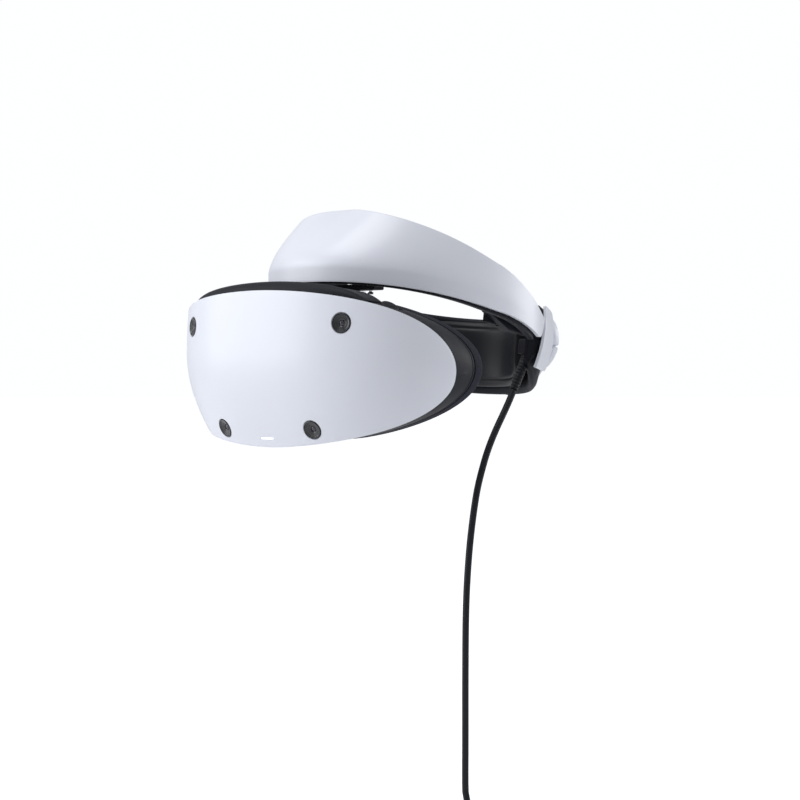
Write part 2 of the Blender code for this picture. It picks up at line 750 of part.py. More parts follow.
def make_rear_frame(frame, mats):
    """The inner body: a wall behind the pad, and a floor that meets the cover."""
    rows = []
    wall = (WALL_W, WALL_D)
    section = (
        (74.4, 109.4, lambda a: cover_low(a) + 2.0),
        (74.0, 108.6, lambda a: cover_low(a) - 2.6),
        (73.5, 104.0, lambda a: frame_low(a) + 4.0),
        (72.0, 101.0, lambda a: frame_low(a) + 0.5),
        (70.2, 98.5, lambda a: frame_low(a) + 0.5),
        (*wall, lambda a: frame_low(a) + 3.5),
        (*wall, lambda a: -12.0),
        (*wall, lambda a: rim_top(a) - 2.0),
        (70.0, 98.5, lambda a: rim_top(a) - 0.4),
        (73.6, 107.6, lambda a: rim_top(a) - 0.4),
    )
    for width, depth, level in section:
        row = []
        for i in range(25):
            angle = 59.0 * (-1 + 2 * i / 24)
            row.append(rear_point(angle, level(angle), width, depth))
        rows.append(row)
    body = solidify(loft("rear_frame", rows, mats["black"]), 1.4)
    place(body, (0, 0, 0), parent=frame)
    for side, name in SIDES:
        end = make_frame_end(side, name)
        place(end, (0, 0, 0), parent=frame)
        cut(body, end, "UNION")
        slot = block("arm_way_" + name, (2.8, 30.0, ARM_H + 1.0), None, CUTTERS)
        place(slot, Vector((side * ARM_X, -10.6, 0.0)) * MM, parent=frame)
        cut(body, slot)
    socket = rod("socket_bore", 3.4 + GAP, 16.0, None, CUTTERS, 20)
    cut(body, aim(socket, Vector(SOCKET_SEAT) * MM, SOCKET_FACING, frame))
    pocket = block("cable_pocket", (13.0, 20.0, 50.0), None, CUTTERS)
    place(pocket, Vector((CABLE_X, -6.0, -32.5)) * MM, parent=frame)
    cut(body, pocket)


def make_rear_pad(frame, mats):
    rows = []
    for j in range(5):
        row = []
        for i in range(15):
            angle = 46.0 * (-1 + 2 * i / 14)
            low = frame_low(angle) + 5.0
            row.append(rear_point(angle, low + (9.0 - low) * j / 4, PAD_W, PAD_D))
        rows.append(row)
    pad = bevel(solidify(loft("rear_pad", rows, mats["vinyl"]), 8.5, 1.0), 2.5, 1)
    place(pad, (0, 0, 0), parent=frame)


def make_arms(frame, mats):
    for side, name in SIDES:
        arm = block("arm_" + name, (1.8, 61.0, ARM_H), mats["black"], edge=0.4, segments=1)
        place(arm, Vector((side * ARM_X, -27.5, 0.0)) * MM, parent=frame)


def make_rack(side, name, frame, mats):
    """A curved toothed strap, over the pinion on the left and under it on the right."""
    teeth = 24
    rows = []
    for edge in (0, 1):
        row = []
        for i in range(2 * teeth + 1):
            angle = radians(side * (-40.0 + 49.0 * i / (2 * teeth)))
            near = 7.2 if i % 2 else 8.3
            z = KNOB_Z + side * (near if edge == 0 else RACK_EDGE)
            row.append(Vector((RACK_R * sin(angle), RACK_R * cos(angle), z)) * MM)
        rows.append(row)
    rack = solidify(loft("rack_" + name, rows, mats["black"]), 1.6, 0.0)
    place(rack, Vector((0.0, RACK_MID, 0.0)) * MM, parent=frame)


def make_dial(frame, mats):
    """The dial on the back, its toothed shaft, and the quick release in its middle."""
    knob = turned("adjust_dial",
                  [(10.2, 11.0), (KNOB_R - 6.5, 11.0), (KNOB_R - 2.2, 10.2), (KNOB_R, 7.6),
                   (KNOB_R, 1.2), (KNOB_R - 1.2, 0.0), (5.0, 0.0), (5.0, 2.0), (10.2, 2.0)],
                  mats["white"], 36)
    place(knob, Vector((0.0, KNOB_Y, KNOB_Z)) * MM, (-90, 0, 0), frame)
    points = []
    for i in range(32):
        radius = PINION_R + (0.6 if i % 2 else -0.6)
        points.append((radius * cos(2 * pi * i / 32), radius * sin(2 * pi * i / 32)))
    pinion = outline("drive_pinion", points, 6.0, mats["steel"])
    place(pinion, Vector((0.0, PINION_Y, KNOB_Z)) * MM, (-90, 0, 0), frame)
    shaft = rod("pinion_shaft", SHAFT_R, 15.8, None, CUTTERS, 24)
    place(shaft, Vector((0.0, 57.7, KNOB_Z)) * MM, (-90, 0, 0), frame)
    cut(pinion, shaft, "UNION")
    button = turned("release_button",
                    [(0.0, 12.0), (8.2, 12.0), (9.7, 11.0), (9.7, 4.6), (7.0, 4.6), (7.0, 10.0),
                     (0.0, 10.0)], mats["white"], 32)
    place(button, Vector((0.0, KNOB_Y, KNOB_Z)) * MM, (-90, 0, 0), frame)
    turns, per_turn = 3, 14
    seat, length = KNOB_Y + 2.4, 4.2
    points = []
    for i in range(turns * per_turn + 1):
        angle = 2 * pi * i / per_turn
        height = seat + length * i / (turns * per_turn)
        points.append(Vector((5.2 * cos(angle), height, 5.2 * sin(angle) + KNOB_Z)) * MM)
    spring = tube("button_spring", points, 0.35, mats["steel"], 1)
    place(spring, (0, 0, 0), parent=frame)


def make_sockets(frame, mats):
    """Headphone socket under the rear unit, and the anchor that grips the cable."""
    socket = turned("audio_socket", [(1.9, 0.4), (3.4, 0.4), (3.4, -5.0), (1.9, -5.0)],
                    mats["steel"], 16)
    aim(socket, Vector(SOCKET_SEAT) * MM, SOCKET_FACING, frame)
    anchor = block("cable_anchor", (9.0, 9.0, 10.2), mats["black"], edge=1.0)
    place(anchor, Vector((CABLE_X, -1.4, -13.1)) * MM, parent=frame)


def make_gland(mats):
    top, end = pt(*GLAND_TOP), pt(*GLAND_END)
    length = (end - top).length / MM
    ribs = 7
    profile = [(2.5, length), (2.9, length)]
    for i in range(ribs):
        low = length * (1 - (i + 0.5) / ribs)
        wide = 2.9 + 0.5 * (i + 1) / ribs
        profile += [(wide - 0.5, low + 0.3), (wide, low - 0.4)]
    profile += [(3.4, 0.0), (2.5, 0.0)]
    gland = turned("cable_gland", [(r, length - h) for r, h in profile][::-1], mats["rubber"], 20)
    aim(gland, end, top - end)


# ---------------------------------------------------------------- cable

def spline(points, spacing):
    """Evenly spaced points along a smooth curve through the given ones."""
    ends = [2 * points[0] - points[1], *points, 2 * points[-1] - points[-2]]
    fine = []
    for a, b, c, d in zip(ends, ends[1:], ends[2:], ends[3:]):
        for i in range(24):
            t = i / 24
            fine.append(0.5 * (2 * b + (c - a) * t + (2 * a - 5 * b + 4 * c - d) * t * t
                               + (3 * b - a - 3 * c + d) * t ** 3))
    fine.append(points[-1])
    even, walked = [fine[0]], 0.0
    for before, after in zip(fine, fine[1:]):
        walked += (after - before).length
        if walked >= spacing:
            even.append(after)
            walked = 0.0
    even[-1] = points[-1]
    return even


def coil_top():
    return FLOOR_Z + TIE_T + 0.3 + 2 * COIL_HALF_H


def cable_route():
    top, end = Vector(GLAND_TOP), Vector(GLAND_END)
    out = (end - top).normalized()
    points = [end + out * 0.4, end + out * 7.0]
    points += [Vector((CABLE_X, y, z)) for y, z in ROUTE]
    lying = coil_top() + CABLE_R + 0.3
    points += [Vector((CABLE_X, 138.0, lying + 24.0)),
               Vector((CABLE_X + 3.2, 138.1, lying + 12.2)),
               Vector((CABLE_X + 11.0, 139.3, lying + 3.4)),
               Vector((CABLE_X + 20.5, 143.0, lying)),
               Vector((CABLE_X + 27.0, 149.5, lying))]
    return [pt(*p) for p in spline(points, 10.0)]


def make_cable(mats):
    tube("cable", cable_route(), CABLE_R, mats["cable"], 2)
    section = []
    for i in range(8):
        angle = -2 * pi * (i + 0.5) / 8
        section.append((COIL_R + COIL_HALF_W * 1.08 * cos(angle), COIL_HALF_H * 1.08 * sin(angle)))
    coil = turned("cable_coil", section, mats["cable"], 32)
    middle = FLOOR_Z + TIE_T + 0.3 + COIL_HALF_H
    place(coil, pt(CABLE_X, COIL_Y, middle))
    wide, high = 2 * COIL_HALF_W + 4.0, 2 * COIL_HALF_H + 0.6
    tie = block("coil_tie", (wide + 2 * TIE_T, 9.0, high + 2 * TIE_T), mats["black"])
    room = block("tie_room", (wide, 20.0, high), None, CUTTERS)
    for piece in (tie, room):
        place(piece, pt(CABLE_X - COIL_R, COIL_Y, middle))
    cut(tie, room)
    plug_z = coil_top() + 3.4
    body = block("plug_body", (22.0, 10.6, 6.2), mats["black"], edge=1.6)
    place(body, pt(CABLE_X - 6.0, 202.0, plug_z))
    shell = outline("plug_shell", slot_outline(0.0, 2.9, 1.25), 6.6, mats["steel"])
    place(shell, pt(CABLE_X - 20.7, 202.0, plug_z), (90, 0, 90))


def build():
    mats = make_materials()
    make_visor(mats)
    make_status_light(mats)
    for name in CAMERAS:
        make_camera(name, mats)
    make_scope_housing(mats)
    make_top_cover(mats)
    make_light_shield(mats)
    make_lens_plate(mats)
    for side, name in SIDES:
        make_optics(side, name, mats)
    make_electronics(mats)
    make_sensor(mats)
    make_controls(mats)
    make_rails(mats)
    make_band(mats)
    frame = bpy.data.objects.new("rear_axis", None)
    PARTS.objects.link(frame)
    place(frame, pt(0.0, REAR_Y, REAR_Z), (-REAR_TILT, 0, 0))
    make_side_guides(frame, mats)
    make_rear_cover(frame, mats)
    make_rear_frame(frame, mats)
    make_rear_pad(frame, mats)
    make_arms(frame, mats)
    for side, name in SIDES:
        make_rack(side, name, frame, mats)
    make_dial(frame, mats)
    make_sockets(frame, mats)
    make_gland(mats)
    make_cable(mats)


clear_scene()
PARTS = collection("vr_headset")
CUTTERS = collection("cutters")
build()
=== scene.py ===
"""Looks of the virtual reality headset: fine shells, pads, optics, cable and materials.

Stations are in millimetres as in the CAD: x to the wearer's left, y back from the visor's
foremost point, z up.  pt() turns them into metres in the frame's own axes.
"""
from math import atan2, copysign, cos, exp, pi, radians, sin, sqrt, tau

import bpy
import bmesh
from mathutils import Matrix, Vector


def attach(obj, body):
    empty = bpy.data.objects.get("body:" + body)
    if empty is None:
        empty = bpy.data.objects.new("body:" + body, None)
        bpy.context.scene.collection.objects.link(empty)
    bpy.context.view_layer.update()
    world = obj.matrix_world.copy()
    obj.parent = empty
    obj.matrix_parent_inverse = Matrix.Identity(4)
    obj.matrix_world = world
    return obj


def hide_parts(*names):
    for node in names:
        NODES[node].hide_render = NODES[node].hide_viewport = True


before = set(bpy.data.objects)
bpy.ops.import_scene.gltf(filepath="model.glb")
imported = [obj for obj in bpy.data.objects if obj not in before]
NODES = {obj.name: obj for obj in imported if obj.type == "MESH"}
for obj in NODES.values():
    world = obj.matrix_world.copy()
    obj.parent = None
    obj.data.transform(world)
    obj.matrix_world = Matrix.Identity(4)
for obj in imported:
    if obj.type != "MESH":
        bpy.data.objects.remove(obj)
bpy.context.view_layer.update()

MM = 0.001
HEAD_Y, HEAD_Z = 150.0, 45.0
GAP = 0.4
SHARP = 34.0                   # degrees between faces above which an edge stays sharp
SIDES = ((1, "left"), (-1, "right"))

# Visor and scope
VISOR_W, VISOR_D, VISOR_N = 105.0, 73.9, 2.59
VISOR_FULL_Z, TOP_Z, BOTTOM_Z, TIP_Z = 20.3, 58.6, -39.1, 4.0
VISOR_T = 2.2
CAMERAS = {"top_left": (34.3, 37.5), "top_right": (-34.3, 37.5),
           "bottom_left": (20.0, -27.6), "bottom_right": (-20.0, -27.6)}
CAMERA_R = 6.0
LIGHT_SIZE, LIGHT_Z = (11.0, 1.0), -33.5
RIM_W, RIM_H, RIM_Z, RIM_N, RIM_Y, RIM_WRAP = 97.0, 46.4, 10.6, 2.1, 62.0, 46.0
SHELL_T, FLANGE = 2.0, 8.4
BROW_FROM, BROW_TO, BROW_MIDDLE = -0.80, 0.50, -0.09   # fractions of the way round to a tip
PLATE_W, PLATE_H, THROAT_W, THROAT_H = 86.0, 37.0, 76.0, 33.0
EYE_X, EYE_Z, LENS_R, BARREL_R, LENS_PLATE_Y, BARREL_Y = 32.5, 12.0, 20.0, 22.5, 44.0, 24.0
EYE_TRAVEL = 3.5
DIAL_SEAT, DIAL_TILT, DIAL_R = (68.0, 50.0, 44.5), 32.0, 7.0
BUTTONS = {"power_button": ((-30.0, 40.0, -33.5), (0.0, 0.0, -1.0), 4.0, "power_key"),
           "function_button": ((30.0, 40.0, -33.5), (0.0, 0.0, -1.0), 4.0, "function_key"),
           "scope_release": ((-68.0, 50.0, 44.5), (-0.53, 0.0, 0.85), 7.0, "scope_key")}
RAIL_X, RAIL_Y, RAIL_Z, RAIL_SIZE = 22.0, 55.0, 58.7, (9.0, 42.0, 1.4)

# Halo band
BAND_W, BAND_FRONT, BAND_MID, BAND_BACK, BAND_N, BAND_END = 80.0, 43.0, 147.0, 96.5, 2.23, 123.0
BAND_LOW, BAND_LOW_DROP, BAND_HIGH, BAND_HIGH_DROP = 65.2, 39.1, 113.0, 82.2
BAND_LEAN, BAND_CREASE, BAND_T = 37.8, 9.3, 2.2

# Rear unit
REAR_Y, REAR_Z, REAR_TILT, REAR_MID = 204.0, 38.0, 8.0, -58.0
COVER_W, COVER_D, WALL_W, WALL_D, PAD_W, PAD_D = 80.0, 115.0, 68.5, 96.5, 66.0, 93.5
KNOB_R, KNOB_Y, KNOB_Z = 23.0, 63.7, 2.0
SOCKET_SEAT, SOCKET_FACING = (-29.5, 37.5, -32.0), (-0.32, 0.71, -0.62)
COVER_SPAN, BODY_SPAN, PAD_SPAN, END_FROM, END_TO = 60.0, 59.0, 46.0, 50.0, 58.6   # degrees
ARM_X, ARM_WAY_H = 63.5, 11.0

# Cable
CABLE_R, CABLE_X = 2.25, 55.0
GLAND_TOP, GLAND_END = (CABLE_X, 199.7, 18.3), (CABLE_X, 186.7, -3.3)
ROUTE = ((176.6, -18.6), (168.9, -29.2), (161.8, -40.4), (155.8, -52.6), (149.0, -71.2),
         (143.2, -99.0), (139.9, -126.0), (138.4, -153.0), (138.0, -190.0), (138.0, -230.0))
COIL_Y, COIL_R, COIL_HALF_W, COIL_HALF_H = 170.0, 32.0, 9.3, 12.0
TIE_T, FLOOR_Z = 0.8, -314.0
COIL_BASE = FLOOR_Z + TIE_T + 0.3
COIL_TOP = COIL_BASE + 2 * COIL_HALF_H
COLUMN, LAYER = 4.6, 4.85      # pitch between turns side by side, and between layers
SWERVE = 56.0                  # degrees over which a turn moves to the next column or layer
LANDING = 24.0                 # radius of the bend from hanging to lying on the coil
PLUG_TURN, PLUG_R = 80.6, 32.43    # where round the coil the cable goes into the plug
PLUG_Y, PLUG_Z = 202.0, COIL_TOP + 3.4

# Camera: the view's line passes through this point of the frame.
VIEW_AT, VIEW_AZIMUTH, VIEW_ELEVATION, VIEW_DISTANCE = (0.06716, -0.08748, -0.0543), 43.0, 0.5, 1.3
VIEW_LENS = 94.36

# Studio light: how brightly each glows on the object, and in the camera
WORLD_GLOW, FLOOR_GLOW = (0.46, 1.02), (0.05, 0.68)
COOL = (0.97, 0.98, 1.0)


def pt(x, y, z):
    return Vector((x * MM, (y - HEAD_Y) * MM, (z - HEAD_Z) * MM))


def power(value, exponent):
    return copysign(abs(value) ** exponent, value)


def ease(t):
    t = min(max(t, 0.0), 1.0)
    return t * t * (3 - 2 * t)


def lerp(a, b, t):
    return a + (b - a) * t


def across(steps):
    """Even steps from -1 to 1."""
    return [-1 + 2 * i / steps for i in range(steps + 1)]


def ring_turns(count):
    return [tau * i / count for i in range(count)]


# -------- mesh tools

def add(name, data):
    obj = bpy.data.objects.new(name, data)
    bpy.context.scene.collection.objects.link(obj)
    return obj


def smooth(mesh):
    mesh.shade_smooth()
    mesh.set_sharp_from_angle(angle=radians(SHARP))


def from_bmesh(name, bm, mat):
    mesh = bpy.data.meshes.new(name)
    bm.to_mesh(mesh)
    bm.free()
    smooth(mesh)
    if mat is not None:
        mesh.materials.append(mat)
    return add(name, mesh)


def loft(name, rows, mat, closed=False, caps=False, outward=False):
    """A sheet through rows of points; closed joins each row's ends, caps fills both ends."""
    bm = bmesh.new()
    verts = [[bm.verts.new(p) for p in row] for row in rows]
    count = len(rows[0])
    for lower, upper in zip(verts[:-1], verts[1:]):
        for i in range(count if closed else count - 1):
            j = (i + 1) % count
            bm.faces.new((lower[i], lower[j], upper[j], upper[i]))
    if caps:
        bm.faces.new(verts[0][::-1])
        bm.faces.new(verts[-1])
    if outward:
        bmesh.ops.recalc_face_normals(bm, faces=bm.faces)
    return from_bmesh(name, bm, mat)


def solid(name, rows, mat):
    """A closed piece through rows of points."""
    return loft(name, rows, mat, closed=True, caps=True, outward=True)


def lathe(name, profile, mat, steps=72, closed=False, flutes=None):
    """A solid of revolution about local Z from (radius, height) points in millimetres.

    flutes(angle, radius, height) may change a point's radius."""
    bm = bmesh.new()
    rings = []
    for r, h in profile:
        if r < 1e-6:
            rings.append([bm.verts.new((0.0, 0.0, h * MM))])
            continue
        ring = []
        for a in ring_turns(steps):
            reach = flutes(a, r, h) if flutes else r
            ring.append(bm.verts.new((reach * MM * cos(a), reach * MM * sin(a), h * MM)))
        rings.append(ring)
    if closed:
        rings.append(rings[0])
    for low, high in zip(rings, rings[1:]):
        for i in range(steps):
            j = (i + 1) % steps
            corners = [low[i % len(low)], low[j % len(low)], high[j % len(high)], high[i % len(high)]]
            bm.faces.new(list(dict.fromkeys(corners)))
    bmesh.ops.recalc_face_normals(bm, faces=bm.faces)
    return from_bmesh(name, bm, mat)


def fillet(points, radius, steps=4, closed=False):
    """The same outline with its corners rounded."""
    out = []
    count = len(points)
    for i, point in enumerate(points):
        if not closed and i in (0, count - 1):
            out.append(tuple(point))
            continue
        before, here, after = Vector(points[i - 1]), Vector(point), Vector(points[(i + 1) % count])
        reach = min(radius, (before - here).length * 0.48, (after - here).length * 0.48)
        start = here + (before - here).normalized() * reach
        end = here + (after - here).normalized() * reach
        for k in range(steps + 1):
            t = k / steps
            out.append(tuple(start * (1 - t) ** 2 + here * (2 * t * (1 - t)) + end * t * t))
    return out


def slab(name, points, height, mat, edge=0.3, segments=3, holes=()):
    """A flat outline in local XY, given the height about its plane, with rounded edges."""
    curve = bpy.data.curves.new(name, "CURVE")
    curve.dimensions = "2D"
    curve.fill_mode = "BOTH"
    curve.extrude = (height / 2 - edge) * MM
    curve.bevel_depth = edge * MM
    curve.bevel_resolution = segments - 1
    curve.offset = -edge * MM
    for loop in (points, *holes):
        spline = curve.splines.new("POLY")
        spline.points.add(len(loop) - 1)
        for knot, (x, y) in zip(spline.points, loop):
            knot.co = (x * MM, y * MM, 0.0, 1.0)
        spline.use_cyclic_u = True
    draft = add(name + "_draft", curve)
    graph = bpy.context.evaluated_depsgraph_get()
    mesh = bpy.data.meshes.new_from_object(draft.evaluated_get(graph))
    bpy.data.objects.remove(draft, do_unlink=True)
    bm = bmesh.new()
    bm.from_mesh(mesh)
    bmesh.ops.remove_doubles(bm, verts=bm.verts, dist=0.00001)
    mesh.materials.clear()
    return from_bmesh(name, bm, mat)


def bake(obj):
    """Replace the mesh by what its modifiers make of it."""
    graph = bpy.context.evaluated_depsgraph_get()
    mesh = bpy.data.meshes.new_from_object(obj.evaluated_get(graph))
    obj.modifiers.clear()
    obj.data = mesh
    smooth(mesh)
    return obj


def wall(obj, thickness, offset=-1.0, edge=0.0, segments=3):
    """Give an open sheet its thickness, and round the edges."""
    mod = obj.modifiers.new("Wall", "SOLIDIFY")
    mod.thickness = thickness * MM
    mod.offset = offset
    if edge:
        mod = obj.modifiers.new("Edges", "BEVEL")
        mod.width = edge * MM
        mod.segments = segments
        mod.limit_method = "ANGLE"
        mod.angle_limit = radians(50.0)
    return bake(obj)


def cut(target, *cutters):
    """Take the cutters out of a piece, and stop if that leaves nothing of it."""
    for cutter in cutters:
        mod = target.modifiers.new("Cut", "BOOLEAN")
        mod.object = cutter
        mod.solver = "EXACT"
    bake(target)
    if not target.data.polygons:
        raise RuntimeError("nothing is left of " + target.name)
    for cutter in cutters:
        bpy.data.objects.remove(cutter, do_unlink=True)
    return target


def drill(radius, reach, steps):
    """A round cutter about local Z."""
    return lathe("bore", [(0.0, -reach), (radius, -reach), (radius, reach), (0.0, reach)], None, steps)


def corners(wide, high):
    return [(-wide / 2, -high / 2), (wide / 2, -high / 2), (wide / 2, high / 2), (-wide / 2, high / 2)]


def rectangle(wide, high, radius, steps=6):
    return fillet(corners(wide, high), radius, steps, closed=True)


def stadium(half, radius, steps=12):
    """A slot's outline; half is from its centre to the centre of each round end."""
    points = []
    for side, start in ((1, -90.0), (-1, 90.0)):
        for i in range(steps + 1):
            a = radians(start + 180.0 * i / steps)
            points.append((side * half + radius * cos(a), radius * sin(a)))
    return points


def between(a, b, c, d, t):
    """From b to c on the smooth curve that passes through all four."""
    return 0.5 * (2 * b + (c - a) * t + (2 * a - 5 * b + 4 * c - d) * t * t
                  + (3 * b - a - 3 * c + d) * t ** 3)


def fours(points):
    """Each point and its next, with a neighbour on both sides."""
    ends = [2 * points[0] - points[1], *points, 2 * points[-1] - points[-2]]
    return list(zip(ends, ends[1:], ends[2:], ends[3:]))


def aim(obj, point, direction):
    obj.location = point
    obj.rotation_euler = Vector(direction).to_track_quat("Z", "Y").to_euler()
    return obj


def turn(obj, point, rotation):
    obj.location = point
    obj.rotation_euler = [radians(a) for a in rotation]
    return obj


def join(name, objs):
    """Several meshes as one piece, in the frame's own axes."""
    bm = bmesh.new()
    mats = []
    bpy.context.view_layer.update()
    for obj in objs:
        start = len(bm.faces)
        mesh = obj.data.copy()
        mesh.transform(obj.matrix_world)
        bm.from_mesh(mesh)
        bm.faces.ensure_lookup_table()
        own = list(obj.data.materials)
        for m in own:
            if m not in mats:
                mats.append(m)
        for face in bm.faces[start:]:
            face.material_index = mats.index(own[min(face.material_index, len(own) - 1)])
        bpy.data.objects.remove(obj, do_unlink=True)
    piece = from_bmesh(name, bm, None)
    for m in mats:
        piece.data.materials.append(m)
    return piece


def done(obj, body, slot, *nodes):
    """The piece rides on a body and stands for CAD nodes; slot is not used."""
    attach(obj, body)
    if nodes:
        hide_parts(*nodes)
    return obj


# -------- materials

def settle(node, **sockets):
    """Set a node's inputs by name, with _ for a space."""
    for socket, value in sockets.items():
        node.inputs[socket.replace("_", " ")].default_value = value
    return node


def surface(name, colour, roughness, metallic=0.0, grain=0.5, relief=0.03, tint=0.08,
            spread=0.08, cells=False, stretch=None, **sockets):
    """A Principled material with procedural grain, tone and roughness; grain is in millimetres."""
    mat = bpy.data.materials.new(name)
    mat.use_nodes = True
    nodes, links = mat.node_tree.nodes, mat.node_tree.links
    shader = settle(nodes["Principled BSDF"], Metallic=metallic, **sockets)
    source = nodes.new("ShaderNodeTexCoord").outputs["Object"]
    if stretch:
        mapping = settle(nodes.new("ShaderNodeMapping"), Scale=stretch)
        links.new(source, mapping.inputs["Vector"])
        source = mapping.outputs["Vector"]

    def noise(size, detail):
        node = settle(nodes.new("ShaderNodeTexNoise"), Scale=1000.0 / size, Detail=detail)
        links.new(source, node.inputs["Vector"])
        return node.outputs["Fac"]

    def combine(operation, value, factor):
        node = nodes.new("ShaderNodeMath")
        node.operation = operation
        node.inputs[1].default_value = factor
        links.new(value, node.inputs[0])
        return node

    cloud, fine = noise(28.0, 3.0), noise(grain, 2.0)
    tone = combine("MULTIPLY_ADD", fine, 0.6)
    links.new(combine("MULTIPLY", cloud, 0.4).outputs[0], tone.inputs[2])
    ramp = nodes.new("ShaderNodeValToRGB")
    for stop, place, level in zip(ramp.color_ramp.elements, (0.32, 0.68), (1 - tint, 1 + tint)):
        stop.position = place
        stop.color = (*[min(c * level, 1.0) for c in colour], 1.0)
    links.new(tone.outputs[0], ramp.inputs["Fac"])
    links.new(ramp.outputs["Color"], shader.inputs["Base Color"])
    rough = settle(nodes.new("ShaderNodeMapRange"), From_Min=0.2, From_Max=0.8,
                   To_Min=max(roughness - spread, 0.01), To_Max=min(roughness + spread, 1.0))
    rough.interpolation_type = "SMOOTHSTEP"
    links.new(cloud, rough.inputs["Value"])
    links.new(rough.outputs["Result"], shader.inputs["Roughness"])
    height = fine
    if cells:
        pebbles = settle(nodes.new("ShaderNodeTexVoronoi"), Scale=1000.0 / (grain * 2.2))
        pebbles.feature = "SMOOTH_F1"
        links.new(source, pebbles.inputs["Vector"])
        height = pebbles.outputs["Distance"]
    bump = settle(nodes.new("ShaderNodeBump"), Strength=0.6, Distance=relief * MM)
    links.new(height, bump.inputs["Height"])
    links.new(bump.outputs["Normal"], shader.inputs["Normal"])
    return mat


def make_materials():
    return {
        "white": surface("satin_white", (0.76, 0.785, 0.86), 0.30, grain=0.35, relief=0.003, tint=0.006,
            spread=0.015, Coat_Weight=0.12, Coat_Roughness=0.3),
        "black": surface("moulded_black", (0.007, 0.008, 0.013), 0.56, grain=0.45, relief=0.05,
            tint=0.35, spread=0.06, Specular_IOR_Level=0.22),
        "gloss": surface("polished_black", (0.012, 0.013, 0.017), 0.16, grain=1.2, relief=0.002,
            tint=0.12, spread=0.03, Coat_Weight=0.5, Coat_Roughness=0.06),
        "rubber": surface("shield_rubber", (0.007, 0.008, 0.013), 0.70, relief=0.06, tint=0.35,
            Specular_IOR_Level=0.2),
        "rim": surface("speckled_rim", (0.018, 0.020, 0.031), 0.70, grain=0.75, relief=0.10, tint=0.60,
            Specular_IOR_Level=0.25),
        "vinyl": surface("pad_vinyl", (0.005, 0.006, 0.009), 0.46, grain=0.55, relief=0.035, tint=0.22,
            spread=0.07, cells=True, Specular_IOR_Level=0.3, Coat_Weight=0.08, Coat_Roughness=0.32),
        "glass": surface("coated_glass", (0.012, 0.010, 0.026), 0.03, grain=3.0, relief=0.0005,
            tint=0.3, spread=0.01, Coat_Weight=1.0, Coat_Roughness=0.02),
        "eye_glass": surface("eye_glass", (0.86, 0.90, 0.98), 0.03, grain=4.0, relief=0.0004, tint=0.02,
            spread=0.01, Transmission_Weight=0.85, IOR=1.49),
        "steel": surface("steel", (0.60, 0.61, 0.63), 0.28, 1.0, grain=0.4, relief=0.004, tint=0.10,
            stretch=(1.0, 1.0, 0.12)),
        "alloy": surface("milled_alloy", (0.68, 0.69, 0.71), 0.36, 1.0, relief=0.01,
            stretch=(0.1, 1.0, 1.0)),
        "board": surface("circuit_board", (0.02, 0.10, 0.05), 0.42, grain=1.4, tint=0.45, spread=0.1),
        "light": surface("light_diffuser", (0.90, 0.92, 0.97), 0.35, grain=0.6, relief=0.002, tint=0.01,
            spread=0.02, Emission_Color=(1.0, 1.0, 1.0, 1.0), Emission_Strength=0.5),
        "cable": surface("cable_jacket", (0.008, 0.009, 0.013), 0.50, grain=0.6, tint=0.22,
            Specular_IOR_Level=0.28),
    }


# -------- stage, lights and camera

def make_camera():
    a, e = radians(VIEW_AZIMUTH), radians(VIEW_ELEVATION)
    back = Vector((sin(a) * cos(e), -cos(a) * cos(e), sin(e)))
    data = bpy.data.cameras.new("view")
    data.lens = VIEW_LENS
    data.sensor_width = 36.0
    bpy.context.scene.camera = aim(add("view", data), Vector(VIEW_AT) + back * VIEW_DISTANCE, back)


def panel(name, place, size, watts, colour=(1.0, 1.0, 1.0)):
    """A square soft light that faces the middle of the headset."""
    data = bpy.data.lights.new(name, "AREA")
    data.shape = "RECTANGLE"
    data.size = data.size_y = size
    data.energy = watts
    data.color = colour
    aim(add(name, data), place, place)


def seen_level(tree, socket, lighting, seen):
    """A strength that the camera sees at one level and the object is lit by at another."""
    ray = tree.nodes.new("ShaderNodeLightPath")
    level = settle(tree.nodes.new("ShaderNodeMapRange"), To_Min=lighting, To_Max=seen)
    tree.links.new(ray.outputs["Is Camera Ray"], level.inputs["Value"])
    tree.links.new(level.outputs["Result"], socket)


def make_stage():
    """A pale floor under a white studio, lit by three soft panels."""
    floor_z = (FLOOR_Z - HEAD_Z) * MM
    rows = [[(r * cos(t), r * sin(t), floor_z) for t in ring_turns(96)]
            for r in (0.001, 0.25, 0.6, 1.2, 2.4, 5.0, 10.0, 20.0, 40.0)]
    floor = loft("studio_floor", rows, None, closed=True, outward=True)
    paper = surface("studio_white", (0.86, 0.86, 0.87), 0.85, grain=40.0, relief=0.0, tint=0.01,
                    spread=0.02, Specular_IOR_Level=0.1, Emission_Color=(*COOL, 1.0))
    shader = paper.node_tree.nodes["Principled BSDF"]
    seen_level(paper.node_tree, shader.inputs["Emission Strength"], *FLOOR_GLOW)
    floor.data.materials.append(paper)
    scene = bpy.context.scene
    scene.view_settings.view_transform = "Standard"
    scene.world = bpy.data.worlds.new("studio")
    scene.world.use_nodes = True
    sky = scene.world.node_tree.nodes["Background"]
    sky.inputs["Color"].default_value = (*COOL, 1.0)
    seen_level(scene.world.node_tree, sky.inputs["Strength"], *WORLD_GLOW)
    a = radians(VIEW_AZIMUTH)
    right, away, up = Vector((cos(a), sin(a), 0.0)), Vector((-sin(a), cos(a), 0.0)), Vector((0, 0, 1))
    panel("key_panel", right * -1.75 - away * 0.12 + up * 0.45, 1.5, 16.5, COOL)
    panel("top_panel", up * 1.6 - right * 0.5 - away * 0.3, 1.2, 13.0)
    panel("rim_panel", right * 1.6 + away * 0.75 + up * 0.35, 0.8, 8.0, COOL)


# -------- cable and its pieces

